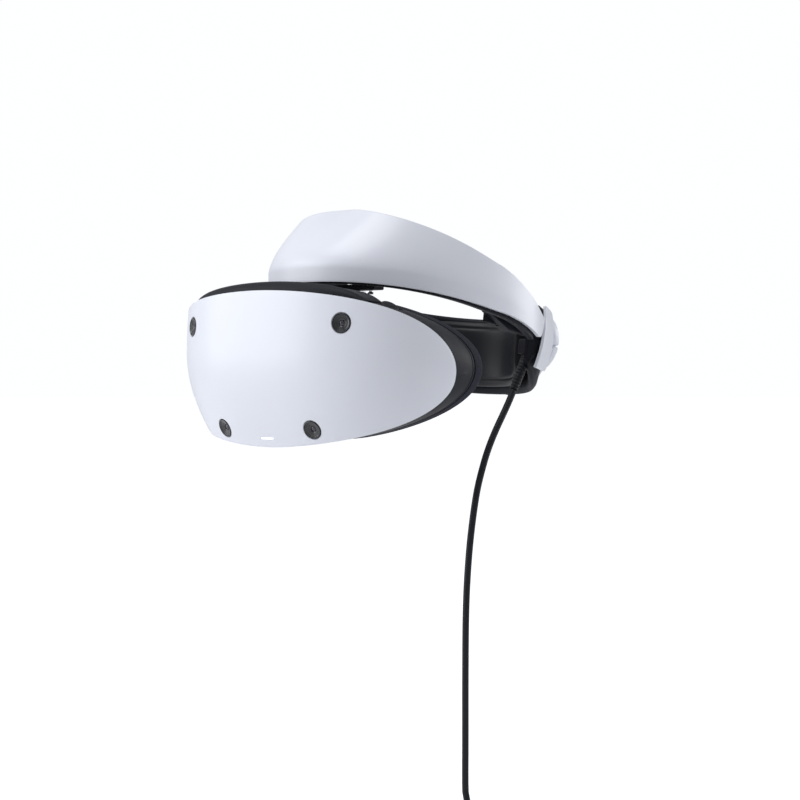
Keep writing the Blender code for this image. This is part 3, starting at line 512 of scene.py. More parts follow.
def spline(points, spacing):
    """Evenly spaced points along a smooth curve through the given ones."""
    fine = [between(*knots, i / 24) for knots in fours(points) for i in range(24)]
    fine.append(points[-1])
    even, walked = [fine[0]], 0.0
    for before, after in zip(fine, fine[1:]):
        walked += (after - before).length
        if walked >= spacing:
            even.append(after)
            walked = 0.0
    even[-1] = points[-1]
    return even


def over_coil(turned, level):
    """A point above the middle of the winding, by radians from the coil's foremost point."""
    return Vector((CABLE_X + COIL_R * sin(turned), COIL_Y - COIL_R * cos(turned), level))


def hanging_points():
    """Out of the gland, down, and onto the coil."""
    top, end = Vector(GLAND_TOP), Vector(GLAND_END)
    out = (end - top).normalized()
    points = [end + out * 0.4, end + out * 7.0]
    points += [Vector((CABLE_X, y, z)) for y, z in ROUTE]
    lying = COIL_TOP + CABLE_R + 0.3
    for i in range(6):
        t = pi * i / 10
        points.append(over_coil(LANDING * (1 - cos(t)) / COIL_R, lying + LANDING * (1 - sin(t))))
    points.append(over_coil((LANDING + 8.0) / COIL_R, lying))
    return spline(points, 5.0)


def winding(land):
    """(angle, radius, level) round the coil, from where the run lands to the plug."""
    first = COIL_BASE + CABLE_R
    columns = [COIL_R + (k - 1.5) * COLUMN for k in range(4)]
    path = [land]

    def go(angle, radius, level, pace=ease):
        a0, r0, z0 = path[-1]
        count = max(int((angle - a0) / 9.0), 1)
        for i in range(1, count + 1):
            t = pace(i / count)
            path.append((a0 + (angle - a0) * i / count, lerp(r0, radius, t), lerp(z0, level, t)))

    def after(angle):
        while angle < path[-1][0]:
            angle += 360.0
        return angle

    start = land[0]
    go(start + SWERVE, columns[3], first + 4 * LAYER)
    for n in range(5):
        level = first + (4 - n) * LAYER
        order = columns[::-1] if n % 2 == 0 else columns
        for k in range(1, 4):
            swerve = after(start - SWERVE * (2 * n + 1))
            go(swerve, order[k - 1], level)
            go(swerve + SWERVE, order[k], level)
        if n < 4:
            drop = after(start - SWERVE * (2 * n + 2))
            go(drop, order[3], level)
            go(drop + SWERVE, order[3], level - LAYER)
    leave = after(start - SWERVE * 10)
    inside = columns[0] - COLUMN - 0.2
    go(leave, columns[0], first)
    go(leave + SWERVE, inside, first + 2.5)
    outward = after(PLUG_TURN - 180.0)
    while outward - path[-1][0] < 200.0:
        outward += 360.0
    go(outward, inside, PLUG_Z, lambda t: t)
    go(outward + 180.0, PLUG_R, PLUG_Z)
    return path


def cable_points():
    points = hanging_points()
    x, y = points[-1].x - CABLE_X, points[-1].y - COIL_Y
    land = (atan2(y, x) * 180 / pi, sqrt(x * x + y * y), points[-1].z)
    for angle, radius, level in winding(land)[1:]:
        a = radians(angle)
        points.append(Vector((CABLE_X + radius * cos(a), COIL_Y + radius * sin(a), level)))
    return [pt(*p) for p in points]


def make_cable(mats):
    points = cable_points()
    curve = bpy.data.curves.new("cable_run", "CURVE")
    curve.dimensions = "3D"
    curve.bevel_depth = CABLE_R * MM
    curve.bevel_resolution = 5
    curve.use_fill_caps = True
    line = curve.splines.new("POLY")
    line.points.add(len(points) - 1)
    for knot, point in zip(line.points, points):
        knot.co = (*point, 1.0)
    line.use_smooth = True
    curve.materials.append(mats["cable"])
    cable = add("cable_run", curve)
    done(cable, "rear_unit", "cable_rubber", "cable", "cable_coil")
    extras = [make_gland(mats), make_tie(mats), *make_plug(mats)]
    tuple(pt(*GLAND_END))


def make_gland(mats):
    """Ribbed strain relief that tapers to the cable."""
    top, end = pt(*GLAND_TOP), pt(*GLAND_END)
    length = (end - top).length / MM
    ribs = 9
    profile = [(CABLE_R + 0.15, 0.0), (2.75, 0.0), (2.95, 0.35), (2.95, 0.8)]
    step = (length - 3.2) / ribs
    for i in range(ribs):
        low = 1.1 + i * step
        wide = 3.0 + 0.45 * (i + 1) / ribs
        profile += [(wide - 0.62, low), (wide - 0.62, low + 0.30 * step),
                    (wide, low + 0.42 * step), (wide, low + 0.88 * step)]
    profile += [(2.9, length - 2.0), (3.4, length - 1.7), (3.4, length), (CABLE_R + 0.15, length)]
    gland = lathe("strain_relief", fillet(profile, 0.16, 2), mats["cable"], 48, closed=True)
    aim(gland, end, top - end)
    return done(gland, "rear_unit", "cable_rubber", "cable_gland")


def make_tie(mats):
    """A closed strap round the coil."""
    wide, high = 2 * COIL_HALF_W + 4.0, 2 * COIL_HALF_H + 0.6
    middle = COIL_BASE + COIL_HALF_H
    rows = []
    for y, inset in ((-4.5, 0.25), (-4.1, 0.0), (4.1, 0.0), (4.5, 0.25)):
        outer = rectangle(wide + 2 * (TIE_T - inset), high + 2 * (TIE_T - inset), 6.0)
        rows.append([pt(CABLE_X - COIL_R + x, COIL_Y + y, middle + z) for x, z in outer])
    strap = wall(loft("coil_strap", rows, mats["vinyl"], closed=True), 0.75, 1.0, 0.12, 1)
    return done(strap, "rear_unit", "cable_rubber", "coil_tie")


def make_plug(mats):
    """Overmoulded plug with grip lines and a taper to the cable, and its hollow steel shell."""
    rows = []
    stations = [(-11.0, 0.86), (-10.6, 0.95), (-9.8, 1.0)]
    for i in range(5):
        x = -7.0 + 2.0 * i
        stations += [(x, 1.0), (x + 0.3, 0.94), (x + 0.9, 0.94), (x + 1.2, 1.0)]
    stations += [(3.6, 1.0), (4.6, 0.93), (5.4, 0.74)]
    for along, scale in stations:
        rows.append([(along, scale * 5.3 * power(cos(t), 0.62), scale * 3.1 * power(sin(t), 0.72))
                     for t in ring_turns(40)])
    for i, along in enumerate((6.2, 7.0, 7.8, 8.6, 9.4, 10.2, 11.0)):
        r = 3.1 - 0.06 * i - (0.35 if i % 2 else 0.0)
        rows.append([(along, r * cos(t), r * sin(t)) for t in ring_turns(40)])
    rows = [[Vector(p) * MM for p in row] for row in rows]
    body = solid("plug_grip", rows, mats["cable"])
    body.location = pt(CABLE_X - 6.0, PLUG_Y, PLUG_Z)
    done(body, "rear_unit", "black_shell", "plug_body")
    outer, inner = stadium(2.9, 1.25), stadium(2.9, 0.95)
    rows = []
    for loop, x in ((inner, 3.1), (inner, -3.2), (outer, -3.3), (outer, 3.3)):
        rows.append([Vector((x, y, z)) * MM for y, z in loop])
    shell = loft("plug_tip", rows + [rows[0]], mats["steel"], closed=True, outward=True)
    tongue = slab("tongue", stadium(2.4, 0.3, 4), 5.4, mats["black"], 0.1, 1)
    turn(tongue, (0.0005, 0.0, 0.0), (90, 0, 90))
    tip = join("plug_tip_shell", [shell, tongue])
    tip.location = pt(CABLE_X - 20.7, PLUG_Y, PLUG_Z)
    done(tip, "rear_unit", "steel", "plug_shell")
    return body, tip


# -------- visor and cameras

def visor_plan(angle, z, inset=0.0):
    """A point of the visor's surface at a plan angle (degrees) and a level."""
    rise = (z - VISOR_FULL_Z) / 50.0
    scale = 1.0 - (0.040 * rise ** 2 if rise > 0 else 0.151 * (-rise) ** 1.887)
    aside, along = sin(radians(angle)), cos(radians(angle))
    x = (scale * VISOR_W - inset) * power(aside, 2 / VISOR_N)
    y = VISOR_D - (scale * VISOR_D - inset) * max(along, 0.0) ** (2 / VISOR_N)
    return x, y


def visor_edge(turn, upper):
    """Level of the visor's edge at a fraction of the way round to a tip."""
    turn = min(abs(turn), 1.0)
    if upper:
        return lerp(TIP_Z, TOP_Z, (1 - turn ** 1.464) ** (1 / 2.753))
    return TIP_Z - (TIP_Z - BOTTOM_Z) * (1 - turn ** 1.302) ** (1 / 2.749)


def visor_point(turn, level, inset=0.0, shrink=0.0):
    """turn runs from tip to tip, level from bottom edge (-1) to top edge (+1)."""
    z = lerp(TIP_Z, visor_edge(turn, level >= 0), abs(level))
    z -= copysign(shrink, level) * abs(level)
    x, y = visor_plan(90.0 * turn, z, inset)
    return pt(x, y, z)


def visor_normal(angle, z):
    step = 0.5
    x0, y0 = visor_plan(angle - step, z)
    x1, y1 = visor_plan(angle + step, z)
    along = Vector((x1 - x0, y1 - y0, 0.0))
    xa, ya = visor_plan(angle, z - step)
    xb, yb = visor_plan(angle, z + step)
    return along.cross(Vector((xb - xa, yb - ya, 2 * step))).normalized()


def disc_grid(columns, rows):
    """Rows of (turn, level) pairs that cover the visor without a pole."""
    grid = []
    for b in across(rows):
        line = []
        for a in across(columns):
            u = a * sqrt(1 - b * b / 2)
            v = b * sqrt(1 - a * a / 2)
            reach = sqrt(max(1 - u * u, 1e-9))
            line.append((u, max(-1.0, min(1.0, v / reach))))
        grid.append(line)
    return grid


def make_visor(mats):
    rows = [[visor_point(u, v) for u, v in line] for line in disc_grid(128, 76)]
    visor = wall(loft("visor_shell", rows, mats["white"]), VISOR_T, -1.0, 0.45)
    cutters = []
    for angle, z in CAMERAS.values():
        x, y = visor_plan(angle, z)
        mouth = lathe("mouth", [(0.0, -9.0), (CAMERA_R + 0.28, -9.0), (CAMERA_R + 0.28, -0.6),
                                (CAMERA_R + 0.8, 0.25), (CAMERA_R + 0.8, 4.0), (0.0, 4.0)],
                      mats["white"], 64)
        cutters.append(aim(mouth, pt(x, y, z), visor_normal(angle, z)))
    x, y = visor_plan(0.0, LIGHT_Z)
    slot = slab("slot", stadium(LIGHT_SIZE[0] / 2 - 0.4, 0.85), 12.0, mats["white"], 0.05, 1)
    cutters.append(aim(slot, pt(0.0, y, LIGHT_Z), visor_normal(0.0, LIGHT_Z)))
    cut(visor, *cutters)
    done(visor, "scope", "white_shell", "visor_cover")
    light = slab("status_bar", stadium(LIGHT_SIZE[0] / 2 - 0.5, 0.5, 6), 2.0, mats["light"], 0.15, 2)
    normal = visor_normal(0.0, LIGHT_Z)
    aim(light, pt(0.0, y, LIGHT_Z) - normal * 1.0 * MM, normal)
    done(light, "scope", "light_diffuser", "status_light")


def make_cameras(mats):
    """Stepped bezels with a domed lens in the middle of each."""
    bezel = [(1.75, -1.55), (2.35, -1.1), (3.1, -1.0), (3.25, -0.72), (4.35, -0.62), (4.5, -0.3),
             (5.15, -0.2), (5.35, 0.36), (5.78, 0.36), (CAMERA_R, 0.1), (CAMERA_R, -4.0),
             (1.75, -4.0)]
    dome = [(1.68 * sin(a), -2.0 + 0.75 * cos(a)) for a in (pi / 2 * i / 10 for i in range(11))]
    for name, (angle, z) in CAMERAS.items():
        x, y = visor_plan(angle, z)
        ring = lathe("camera_bezel_" + name, fillet(bezel, 0.1, 2), mats["gloss"], 64, closed=True)
        lens = lathe("camera_dome_" + name, dome + [(1.68, -4.0), (0.0, -4.0)], mats["glass"], 48)
        for piece in (ring, lens):
            aim(piece, pt(x, y, z), visor_normal(angle, z))
        done(ring, "scope", "gloss_black", "camera_ring_" + name)
        done(lens, "scope", "camera_glass", "camera_lens_" + name)


# -------- scope body

def rim_point(turn_at, width, height, back, nose=0.0, wrap=RIM_WRAP):
    """A point of the scope's rear outline, round by an angle from the wearer's left."""
    x = width * power(cos(turn_at), 2 / RIM_N)
    z = RIM_Z + height * power(sin(turn_at), 2 / RIM_N)
    if sin(turn_at) < 0:
        z += nose * exp(-(x / 17.0) ** 2)
    return pt(x, back + wrap * (x / RIM_W) ** 2, z)


def housing_rows(count):
    """Rings from under the visor's edge to the rim, with a fine groove near the rim."""
    front = []
    for t in ring_turns(count):
        level = 1.0 if sin(t) >= 0 else -1.0
        front.append((visor_point(cos(t), level, 3.4, 4.2),
                      visor_point(cos(t), level, 3.1, 2.6) + Vector((0.0, 1.6 * MM, 0.0))))
    rows = [[a.lerp(b, t) for a, b in front] for t in (0.0, 0.5, 1.0)]
    rim = [rim_point(t, RIM_W, RIM_H, RIM_Y - FLANGE - 1.0) for t in ring_turns(count)]
    shares = [i / 14 for i in range(1, 13)] + [0.90, 0.915, 0.93, 0.945, 0.97, 1.0]
    middle = pt(0.0, 0.0, RIM_Z)
    for share in shares:
        groove = 0.35 * MM if 0.91 < share < 0.935 else 0.0
        row = []
        for near, far in zip(rows[2], rim):
            point = near.lerp(far, share)
            point.x = lerp(near.x, far.x, share ** 1.6)
            point.z = lerp(near.z, far.z, share ** 0.8)
            inward = Vector((middle.x - point.x, 0.0, middle.z - point.z)).normalized()
            row.append(point + inward * groove)
        rows.append(row)
    return rows


def bore_cutter(radius, seat, direction, depth):
    cutter = lathe("bore", [(0.0, -depth), (radius, -depth), (radius, 0.9), (radius + 1.2, 2.4),
                            (radius + 1.2, depth), (0.0, depth)], None, 48)
    return aim(cutter, pt(*seat), direction)


def dial_lean():
    return sin(radians(DIAL_TILT)), 0.0, cos(radians(DIAL_TILT))


def make_housing(mats):
    housing = loft("scope_shell", housing_rows(176), mats["black"], closed=True)
    wall(housing, SHELL_T, 1.0, 0.3, 2)
    bores = [bore_cutter(r + 0.35, seat, direction, 8.0) for seat, direction, r, _ in BUTTONS.values()]
    cut(housing, bore_cutter(DIAL_R + 0.35, DIAL_SEAT, dial_lean(), 9.0), *bores)
    done(housing, "scope", "black_shell", "scope_housing")


def cover_point(turn_at, back, rise):
    """A point of the brow, which thins out towards both of its ends."""
    away = (turn_at - BROW_MIDDLE) / (0.60 if turn_at > BROW_MIDDLE else 0.72)
    x, y = visor_plan(90.0 * turn_at, visor_edge(turn_at, True), 3.4)
    y += back * (1 - 0.6 * away ** 2)
    return pt(x, y, visor_edge(turn_at, True) + rise * max(1 - away ** 6, 0.1))


def make_top_cover(mats):
    """The brow over the scope, with vent slots behind the visor's edge."""
    section = fillet([(0.0, -0.6), (1.5, 3.8), (6.5, 6.2), (14.0, 4.6), (24.0, 3.6), (36.0, 3.5)],
                     2.6, 6)
    rows = []
    for back, rise in section:
        rows.append([cover_point(lerp(BROW_FROM, BROW_TO, i / 120), back, rise) for i in range(121)])
    cover = wall(loft("scope_brow", rows, mats["black"]), 1.2, -1.0, 0.25, 2)
    slots = []
    for i in range(27):
        share = -0.52 + 0.80 * i / 26
        slot = slab("vent", stadium(2.6, 0.55, 4), 6.0, mats["black"], 0.05, 1)
        slots.append(turn(slot, cover_point(share, 13.0, 4.8), (0, 0, 90.0 - 52.0 * share)))
    cut(cover, join("vents", slots))
    done(cover, "scope", "black_shell", "top_cover")


def shield_rows(stations, count, steps):
    """Rows through (width, height, back, nose, wrap) stations, with smooth ones between."""
    rows = []
    for k, knots in enumerate(fours([Vector(s) for s in stations])):
        last = k == len(stations) - 2
        for i in range(steps + 1 if last else steps):
            w, h, back, nose, wrap = between(*knots, i / steps)
            rows.append([rim_point(u, w, h, back, nose, wrap) for u in ring_turns(count)])
    return rows


def make_light_shield(mats):
    """A textured rim round the temples, and a pleated skirt that turns in to the lenses."""
    rim = [(RIM_W, RIM_H, RIM_Y - FLANGE + 0.2, 0.2, RIM_WRAP),
           (RIM_W + 0.2, RIM_H + 0.1, RIM_Y - 5.0, 3.0, RIM_WRAP),
           (RIM_W, RIM_H, RIM_Y - 2.0, 6.0, RIM_WRAP),
           (RIM_W - 1.8, RIM_H - 1.8, RIM_Y, 14.0, RIM_WRAP)]
    edge = wall(loft("shield_rim", shield_rows(rim, 176, 6), mats["rim"], closed=True),
                1.3, 1.0, 0.25, 2)
    done(edge, "scope", "shield_rubber", "light_shield")
    skirt = [(RIM_W - 2.0, RIM_H - 1.9, RIM_Y - 0.2, 14.2, RIM_WRAP)]
    for i in range(1, 14):
        t = i / 14
        pleat = 1.5 * sin(tau * 3.0 * t) * sin(pi * t)
        skirt.append((lerp(RIM_W - 3.0, THROAT_W, t ** 0.9) + pleat,
                      lerp(RIM_H - 2.6, THROAT_H, t ** 0.9) + pleat,
                      lerp(RIM_Y - 0.8, LENS_PLATE_Y + 6.5, t), lerp(17.0, 4.0, t),
                      RIM_WRAP * (1 - t) ** 1.3))
    skirt.append((THROAT_W, THROAT_H, LENS_PLATE_Y + 6.5, 4.0, 0.0))
    skin = wall(loft("shield_skirt", shield_rows(skirt, 176, 3), mats["rubber"], closed=True), 1.1, 1.0)
    done(skin, "scope", "shield_rubber", "light_shield")


# -------- lens plate, optics, controls

def make_lens_plate(mats):
    """The panel that the barrels slide in, and the window of the face sensor."""
    outline = [(PLATE_W * power(cos(t), 2 / RIM_N), PLATE_H * power(sin(t), 2 / RIM_N))
               for t in ring_turns(160)]
    way = stadium(EYE_TRAVEL, BARREL_R + 0.6, 28)
    holes = [[(side * EYE_X + x, y) for x, y in way] for side in (-1, 1)]
    plate = slab("lens_plate_panel", outline, 2.4, mats["black"], 0.5, 3, holes)
    turn(plate, pt(0.0, LENS_PLATE_Y + 1.5, EYE_Z), (90, 0, 0))
    done(plate, "scope", "black_shell", "lens_plate")
    window = slab("sensor_window", stadium(1.9, 1.6, 8), 1.6, mats["gloss"], 0.35, 3)
    turn(window, pt(0.0, LENS_PLATE_Y + 3.9, EYE_Z + 14.0), (90, 0, 0))
    done(window, "scope", "gloss_black", "face_sensor")


def make_optics(mats):
    """Barrels with a ribbed collar, and lenses with fine concentric ridges."""
    seat, ledge = LENS_R + GAP, LENS_R - 2.0
    barrel = [(seat, 28.0), (BARREL_R, 28.0), (BARREL_R, 24.6), (BARREL_R - 0.5, 24.2),
              (BARREL_R - 0.5, 22.2), (BARREL_R, 21.8), (BARREL_R, 0.0), (ledge, 0.0),
              (ledge, 20.0), (seat, 20.0), (seat, 26.4)]
    barrel = fillet(barrel, 0.5, 3, closed=True)
    profile = [(0.0, 26.6), (0.48, 26.6)]
    for i in range(1, 33):
        r = 0.6 * i
        h = 26.6 - 0.0095 * r * r
        profile += [(r, h - 0.12), (r + 0.48, h)]
    profile += [(19.6, 22.9), (LENS_R, 22.6), (LENS_R, 20.4), (0.0, 20.4)]
    for side, name in SIDES:
        tube = lathe("eye_barrel_" + name, barrel, mats["black"], 96, closed=True)
        lens = lathe("eye_lens_" + name, profile, mats["eye_glass"], 96)
        for piece in (tube, lens):
            turn(piece, pt(side * EYE_X, BARREL_Y, EYE_Z), (-90, 0, 0))
        done(tube, name + "_optics", "black_shell", "lens_barrel_" + name)
        done(lens, name + "_optics", "eye_glass", "lens_" + name)


def make_controls(mats):
    for name, (seat, direction, radius, body) in BUTTONS.items():
        dish = [(radius * 0.55 * i / 6, 0.55 + 0.25 * (i / 6) ** 2) for i in range(7)]
        profile = dish + [(radius - 0.9, 1.0), (radius, 0.6), (radius, -4.0), (0.0, -4.0)]
        cap = lathe(name + "_cap", fillet(profile, 0.35, 3), mats["gloss"], 64)
        done(aim(cap, pt(*seat), direction), body, "gloss_black", name)

    def ribs(a, r, h):
        return r - (0.42 if h < 4.4 and sin(26 * a) > 0.1 else 0.0) if r > 5.0 else r

    profile = [(0.0, 6.1), (2.0, 6.15), (4.4, 5.75), (5.6, 5.1), (6.2, 4.3), (6.7, 3.2), (DIAL_R, 1.8),
               (DIAL_R, -3.0), (0.0, -3.0)]
    dial = lathe("eye_dial_cap", fillet(profile, 0.5, 3), mats["black"], 208, flutes=ribs)
    done(aim(dial, pt(*DIAL_SEAT), dial_lean()), "eye_dial", "black_shell", "eye_distance_dial")


def make_rails(mats):
    wide, long, thick = RAIL_SIZE
    groove = [(y, x) for x, y in stadium(15.0, 1.3, 8)]
    for side, name in SIDES:
        rail = slab("runner_" + name, rectangle(wide, long, 1.6, 5), thick, mats["steel"], 0.25, 2,
                    [groove])
        rail.location = pt(side * RAIL_X, RAIL_Y, RAIL_Z)
        done(rail, "headband", "steel", "slide_rail_" + name)


# -------- halo band

def band_base(share, rise):
    """The band's outer surface: share runs from tip to tip, rise from lower to upper edge."""
    angle = radians(BAND_END * share)
    s = min(abs(share), 0.999)
    reach = BAND_MID - BAND_FRONT if cos(angle) > 0 else BAND_BACK
    x = BAND_W * power(sin(angle), 2 / BAND_N)
    along = -reach * power(cos(angle), 2 / BAND_N)
    inward = -Vector((power(x / BAND_W, BAND_N - 1) / BAND_W,
                      power(along / reach, BAND_N - 1) / reach, 0.0)).normalized()
    low = BAND_LOW - BAND_LOW_DROP * s ** 2.37 + 17.0 * (max(s - 0.93, 0.0) / 0.07) ** 2
    high = BAND_HIGH - BAND_HIGH_DROP * s ** 2.63 + 13.0 * s ** 10
    z = lerp(low, high, rise)
    upright = min(BAND_CREASE, 0.3 * (high - low))
    crown = max(z - low - upright, 0.0) / (high - low - upright)
    lean = BAND_LEAN * (1 - s ** 1.61) ** 2.89 * crown ** 1.57
    return Vector((x, BAND_MID + along, z)) + inward * lean


def band_point(share, rise, depth=0.0, drop=0.0):
    """The same surface moved in towards the head, and its lower edge dropped."""
    step = 0.004
    base = band_base(share, rise)
    along = band_base(share + step, rise) - band_base(share - step, rise)
    up = band_base(share, rise + step) - band_base(share, rise - step)
    point = base - along.cross(up).normalized() * depth
    point.z -= drop * max(1 - rise * 4, 0.0)
    return pt(*point)


def band_rows(reach, columns, rises, depth=0.0, drop=0.0, rise_to=1.0):
    rows = []
    for j in range(rises + 1):
        rise = rise_to * j / rises
        row = []
        for part in across(columns):
            share = reach * sin(pi / 2 * part)
            row.append(band_point(share, rise, depth, drop * (1 + 4 * abs(share) ** 5)))
        rows.append(row)
    return rows


def make_band(mats):
    cover = wall(loft("halo_shell", band_rows(0.998, 190, 40), mats["white"]), BAND_T, -1.0, 0.55)
    done(cover, "headband", "white_shell", "band_cover")
    liner = loft("halo_liner", band_rows(0.91, 170, 30, 2.7, 1.2, 0.96), mats["black"])
    done(wall(liner, 3.6, -1.0, 0.9), "headband", "black_shell", "band_frame")


def pad_loops(place, ends, square, thickness, groove_at, count=72, columns=84):
    """Closed section loops of a crowned pad.

    place(u, v, out) gives the pad's point: u along it (-1..1), v across it (-1..1), and out
    millimetres off its back.  groove_at(u, v) is how far the cover is drawn in there."""
    loops = []
    for i in range(columns + 1):
        u = -cos(pi * i / columns)
        swell = (1 - abs(u) ** ends) ** (1 / ends)
        loop = []
        for t in ring_turns(count):
            v = power(cos(t), 2 / square) * swell
            out = 0.5 * (1 + power(sin(t), 2 / 3.0) * (0.25 + 0.75 * swell ** 0.8))
            depth = out * thickness
            if sin(t) > 0:
                depth -= groove_at(u, v) * sin(t) ** 0.5
            loop.append(place(u, v, depth))
        loops.append(loop)
    return loops


def make_forehead_pad(mats):
    def place(u, v, out):
        return band_point(0.335 * u, 0.375 + 0.335 * v, 7.6 + out)

    def channels(u, v):
        lines = sum(exp(-((v - at) / 0.055) ** 2) for at in (-0.5, 0.0, 0.5))
        return 1.3 * lines * ease((0.86 - abs(u)) / 0.1) + 1.1 * exp(-((abs(u) - 0.9) / 0.018) ** 2)

    pad = solid("brow_pad", pad_loops(place, 7.0, 4.0, 8.2, channels), mats["vinyl"])
    done(pad, "headband", "pad_vinyl", "forehead_pad")


# -------- rear unit

REAR = Matrix.Translation(pt(0.0, REAR_Y, REAR_Z)) @ Matrix.Rotation(radians(-REAR_TILT), 4, "X")


def on_rear(obj, location=(0.0, 0.0, 0.0), rotation=(0.0, 0.0, 0.0), direction=None):
    """Place a piece by its station in the rear unit's own sloping frame."""
    if direction is None:
        spin = Matrix.Identity(4)
        for axis, angle in zip("XYZ", rotation):
            spin = Matrix.Rotation(radians(angle), 4, axis) @ spin
    else:
        spin = Vector(direction).to_track_quat("Z", "Y").to_matrix().to_4x4()
    obj.matrix_world = REAR @ Matrix.Translation(Vector(location) * MM) @ spin
    return obj


def rear_point(angle, z, width, depth):
    """A point in the rear unit's own frame, round from its back by an angle."""
    a = radians(angle)
    return Vector((width * sin(a), REAR_MID + depth * cos(a), z)) * MM


def cover_low(angle):
    """Level at which the body comes out from under the cover."""
    return -15.0 - 22.0 * (1 - min(abs(angle) / 34.0, 1.0) ** 1.6) ** 1.3


def cover_edge(angle):
    """Lower edge of the white cover, which also dips over the body's two ends."""
    return cover_low(angle) - 13.0 * ease((abs(angle) - 36.0) / 14.0)


def frame_low(angle):
    return -40.0 + 16.0 * (abs(angle) / 60.0) ** 5


def rim_top(angle):
    """Level of the rear unit's top, which rises behind the dial."""
    return 13.9 + 1.5 * (angle / 60.0) ** 4 + 10.5 * max(1 - (angle / 15.0) ** 2, 0.0)


def arm_way(side, y, wide, long):
    """The cutter for the way that an arm slides in."""
    way = slab("arm_way", rectangle(wide, long, 0.3, 1), ARM_WAY_H, None, 0.05, 1)
    return on_rear(way, (side * ARM_X, y, 0.0))


def make_rear_cover(mats):
    """The white cover, arched out a little over its height, with the bore for the shaft."""
    rows = []
    for j in range(29):
        up = j / 28
        bulge = -2.4 * (2 * up - 1) ** 2
        row = []
        for share in across(120):
            angle = COVER_SPAN * share
            z = lerp(cover_edge(angle), rim_top(angle), up)
            row.append(rear_point(angle - 0.12 * z * share, z, COVER_W + bulge, COVER_D + bulge))
        rows.append(row)
    cover = on_rear(wall(loft("rear_shell", rows, mats["white"]), 2.2, 1.0, 0.6))
    cut(cover, on_rear(drill(5.0, 9.0, 48), (0.0, COVER_D + REAR_MID, KNOB_Z), (90, 0, 0)))
    done(cover, "rear_unit", "white_shell", "rear_cover")


def make_frame_end(side, mats):
    """The solid end of the rear unit's body, with the way that its arm slides in."""
    def section(a, inset):
        low, base, high = cover_low(a), frame_low(a) + inset, rim_top(a) - inset
        corners = [(77.0 - inset, 112.0 - inset, -1.0), (76.3 - inset, 111.3 - inset, low + 6.0),
                   (74.8 - inset, 109.8 - inset, low - 1.5), (73.6, 105.2, base + 4.0),
                   (71.6, 101.2, base + 1.0), (70.4, 99.2, base + 1.2),
                   (69.2, 97.4, base + 4.2), (69.2, 97.4, high - 2.6), (70.4, 99.2, high - 1.1),
                   (74.0, 108.6, high - 1.1), (76.3 - inset, 111.3 - inset, 8.0)]
        return fillet(corners, 1.4, 5, closed=True)

    rows = []
    for i in range(25):
        angle = lerp(END_FROM, END_TO, i / 24)
        inset = 1.2 * max(i / 3 - 7.0, 0.0) ** 2
        rows.append([rear_point(side * angle, z, w, d) for w, d, z in section(angle, inset)])
    end = on_rear(solid("frame_end", rows, mats["black"]))
    return cut(end, arm_way(side, -10.6, 2.8, 30.0))


def make_rear_frame(mats):
    """The body behind the pad: its wall, floor and roof, and its two solid ends."""
    rows = []
    for share in across(110):
        a = BODY_SPAN * share
        low, base, high = cover_low(a), frame_low(a), rim_top(a)
        section = [(74.4, 109.4, low + 2.0), (74.0, 108.6, low - 2.6), (73.5, 104.0, base + 4.0),
                   (72.0, 101.0, base + 0.5), (70.2, 98.5, base + 0.5), (WALL_W, WALL_D, base + 3.5),
                   (WALL_W, WALL_D, high - 2.0), (70.0, 98.5, high - 0.4), (73.6, 107.6, high - 0.4)]
        rows.append([rear_point(a, z, w, d) for w, d, z in fillet(section, 1.6, 4)])
    rows = [list(column) for column in zip(*rows)]
    body = on_rear(wall(loft("rear_body", rows, mats["black"]), 1.4))
    cut(body, on_rear(drill(3.8, 8.0, 40), SOCKET_SEAT, direction=SOCKET_FACING))
    left, right = make_frame_end(1, mats), make_frame_end(-1, mats)
    pocket = slab("pocket", rectangle(8.4, 38.0, 3.0, 5), 20.0, None, 0.1, 1)
    cut(left, on_rear(pocket, (CABLE_X - 0.4, -6.0, -26.5), (90, 0, 0)))
    done(join("rear_body", [body, left, right]), "rear_unit", "black_shell", "rear_frame")


def make_rear_pad(mats):
    def place(u, v, out):
        angle = PAD_SPAN * u
        z = lerp(frame_low(angle) + 4.6, 9.4, 0.5 + 0.5 * v)
        return REAR @ rear_point(angle, z, PAD_W + 0.6 - out, PAD_D + 0.6 - out)

    def seams(u, v):
        border = exp(-((abs(v) - 0.80) / 0.03) ** 2) * ease((0.93 - abs(u)) / 0.06)
        ends = exp(-((abs(u) - 0.92) / 0.012) ** 2) * ease((0.84 - abs(v)) / 0.06)
        return 0.9 * (border + ends)

    pad = solid("nape_pad", pad_loops(place, 7.0, 5.0, 9.2, seams), mats["vinyl"])
    done(pad, "rear_unit", "pad_vinyl", "rear_pad")


def make_side_guides(mats):
    """The blocks at the band's tips that the arms slide in, cut away below at the front."""
    inner = ((60.9, -12.0), (60.9, -42.0), (61.8, -52.0), (64.5, -61.0), (69.0, -70.0))
    outer = ((70.2, -72.0), (70.0, -56.0), (69.3, -40.0), (67.8, -26.0), (65.9, -12.0))
    for side, name in SIDES:
        points = [(side * x, y) for x, y in inner + outer][::side]
        guide = slab("arm_guide_" + name, fillet(points, 2.0, 4, closed=True), 15.0, mats["black"], 0.7)
        wedge = slab("wedge", corners(24.0, 80.0), 20.0, None, 0.05, 1)
        cut(on_rear(guide), arm_way(side, -35.0, 2.6, 58.0),
            on_rear(wedge, (side * 65.0, -58.3, -10.9), (-19.4, 0, 0)))
        done(guide, "headband", "black_shell", "side_guide_" + name)


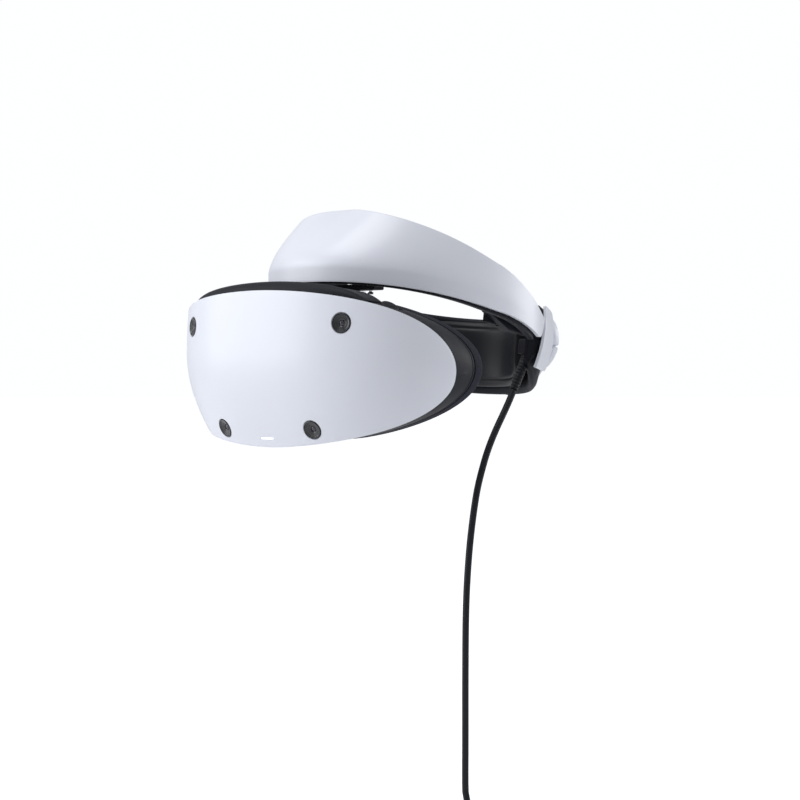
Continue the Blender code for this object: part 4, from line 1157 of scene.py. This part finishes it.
def make_dial(mats):
    """Fluted adjusting dial with a quick-release button in its middle."""
    def flutes(a, r, h):
        if r < KNOB_R - 6.5:
            return r
        notch = max(cos(6 * (a - radians(8.0))), 0.0) ** 60
        return r - 2.6 * notch * ease((r - KNOB_R + 7.0) / 4.0)

    profile = [(10.2, 11.0), (KNOB_R - 6.5, 11.0), (KNOB_R - 2.2, 10.2), (KNOB_R, 7.6), (KNOB_R, 3.4),
               (KNOB_R - 0.9, 2.9), (KNOB_R - 0.9, 2.1), (KNOB_R, 1.6), (KNOB_R - 0.6, 0.2),
               (KNOB_R - 1.2, 0.0), (5.0, 0.0), (5.0, 2.0), (10.2, 2.0)]
    knob = lathe("dial_shell", fillet(profile, 0.9, 4, closed=True), mats["white"], 288,
                 closed=True, flutes=flutes)
    done(on_rear(knob, (0.0, KNOB_Y, KNOB_Z), (-90, 0, 0)), "dial", "white_shell", "adjust_dial")
    dish = [(6.0 * i / 8, 11.2 + 0.5 * (i / 8) ** 2) for i in range(9)]
    profile = dish + [(8.0, 12.0), (9.7, 11.0), (9.7, 4.6), (7.0, 4.6), (7.0, 10.0), (0.0, 10.0)]
    button = lathe("release_cap", fillet(profile, 0.6, 4), mats["white"], 96)
    done(on_rear(button, (0.0, KNOB_Y, KNOB_Z), (-90, 0, 0)), "release_key", "white_shell",
         "release_button")


def make_socket(mats):
    profile = [(1.9, 0.1), (2.2, 0.4), (3.0, 0.4), (3.4, 0.0), (3.4, -5.0), (1.9, -5.0)]
    socket = lathe("headphone_socket", fillet(profile, 0.15, 2, closed=True), mats["steel"], 48,
                   closed=True)
    done(on_rear(socket, SOCKET_SEAT, direction=SOCKET_FACING), "rear_unit", "steel", "audio_socket")


CAD_FINISHES = {
    "black": ("rail_bracket", "arm_left", "arm_right", "rack_left", "rack_right", "cable_anchor",
              "fan_housing", "fan_rotor"),
    "gloss": ("display_left", "display_right"),
    "steel": ("drive_pinion", "button_spring", "bracket_screw_left", "bracket_screw_right"),
    "alloy": ("heat_spreader",),
    "board": ("main_board",),
}


def finish_cad_nodes(mats):
    for slot, names in CAD_FINISHES.items():
        for name in names:
            mesh = NODES[name].data
            mesh.materials.clear()
            mesh.materials.append(mats[slot])


MATS = make_materials()
make_camera()
make_stage()
for make in (make_cable, make_visor, make_cameras, make_housing, make_top_cover, make_light_shield,
             make_lens_plate, make_optics, make_controls, make_rails, make_band, make_forehead_pad,
             make_rear_cover, make_rear_frame, make_rear_pad, make_side_guides, make_dial,
             make_socket, finish_cad_nodes):
    make(MATS)
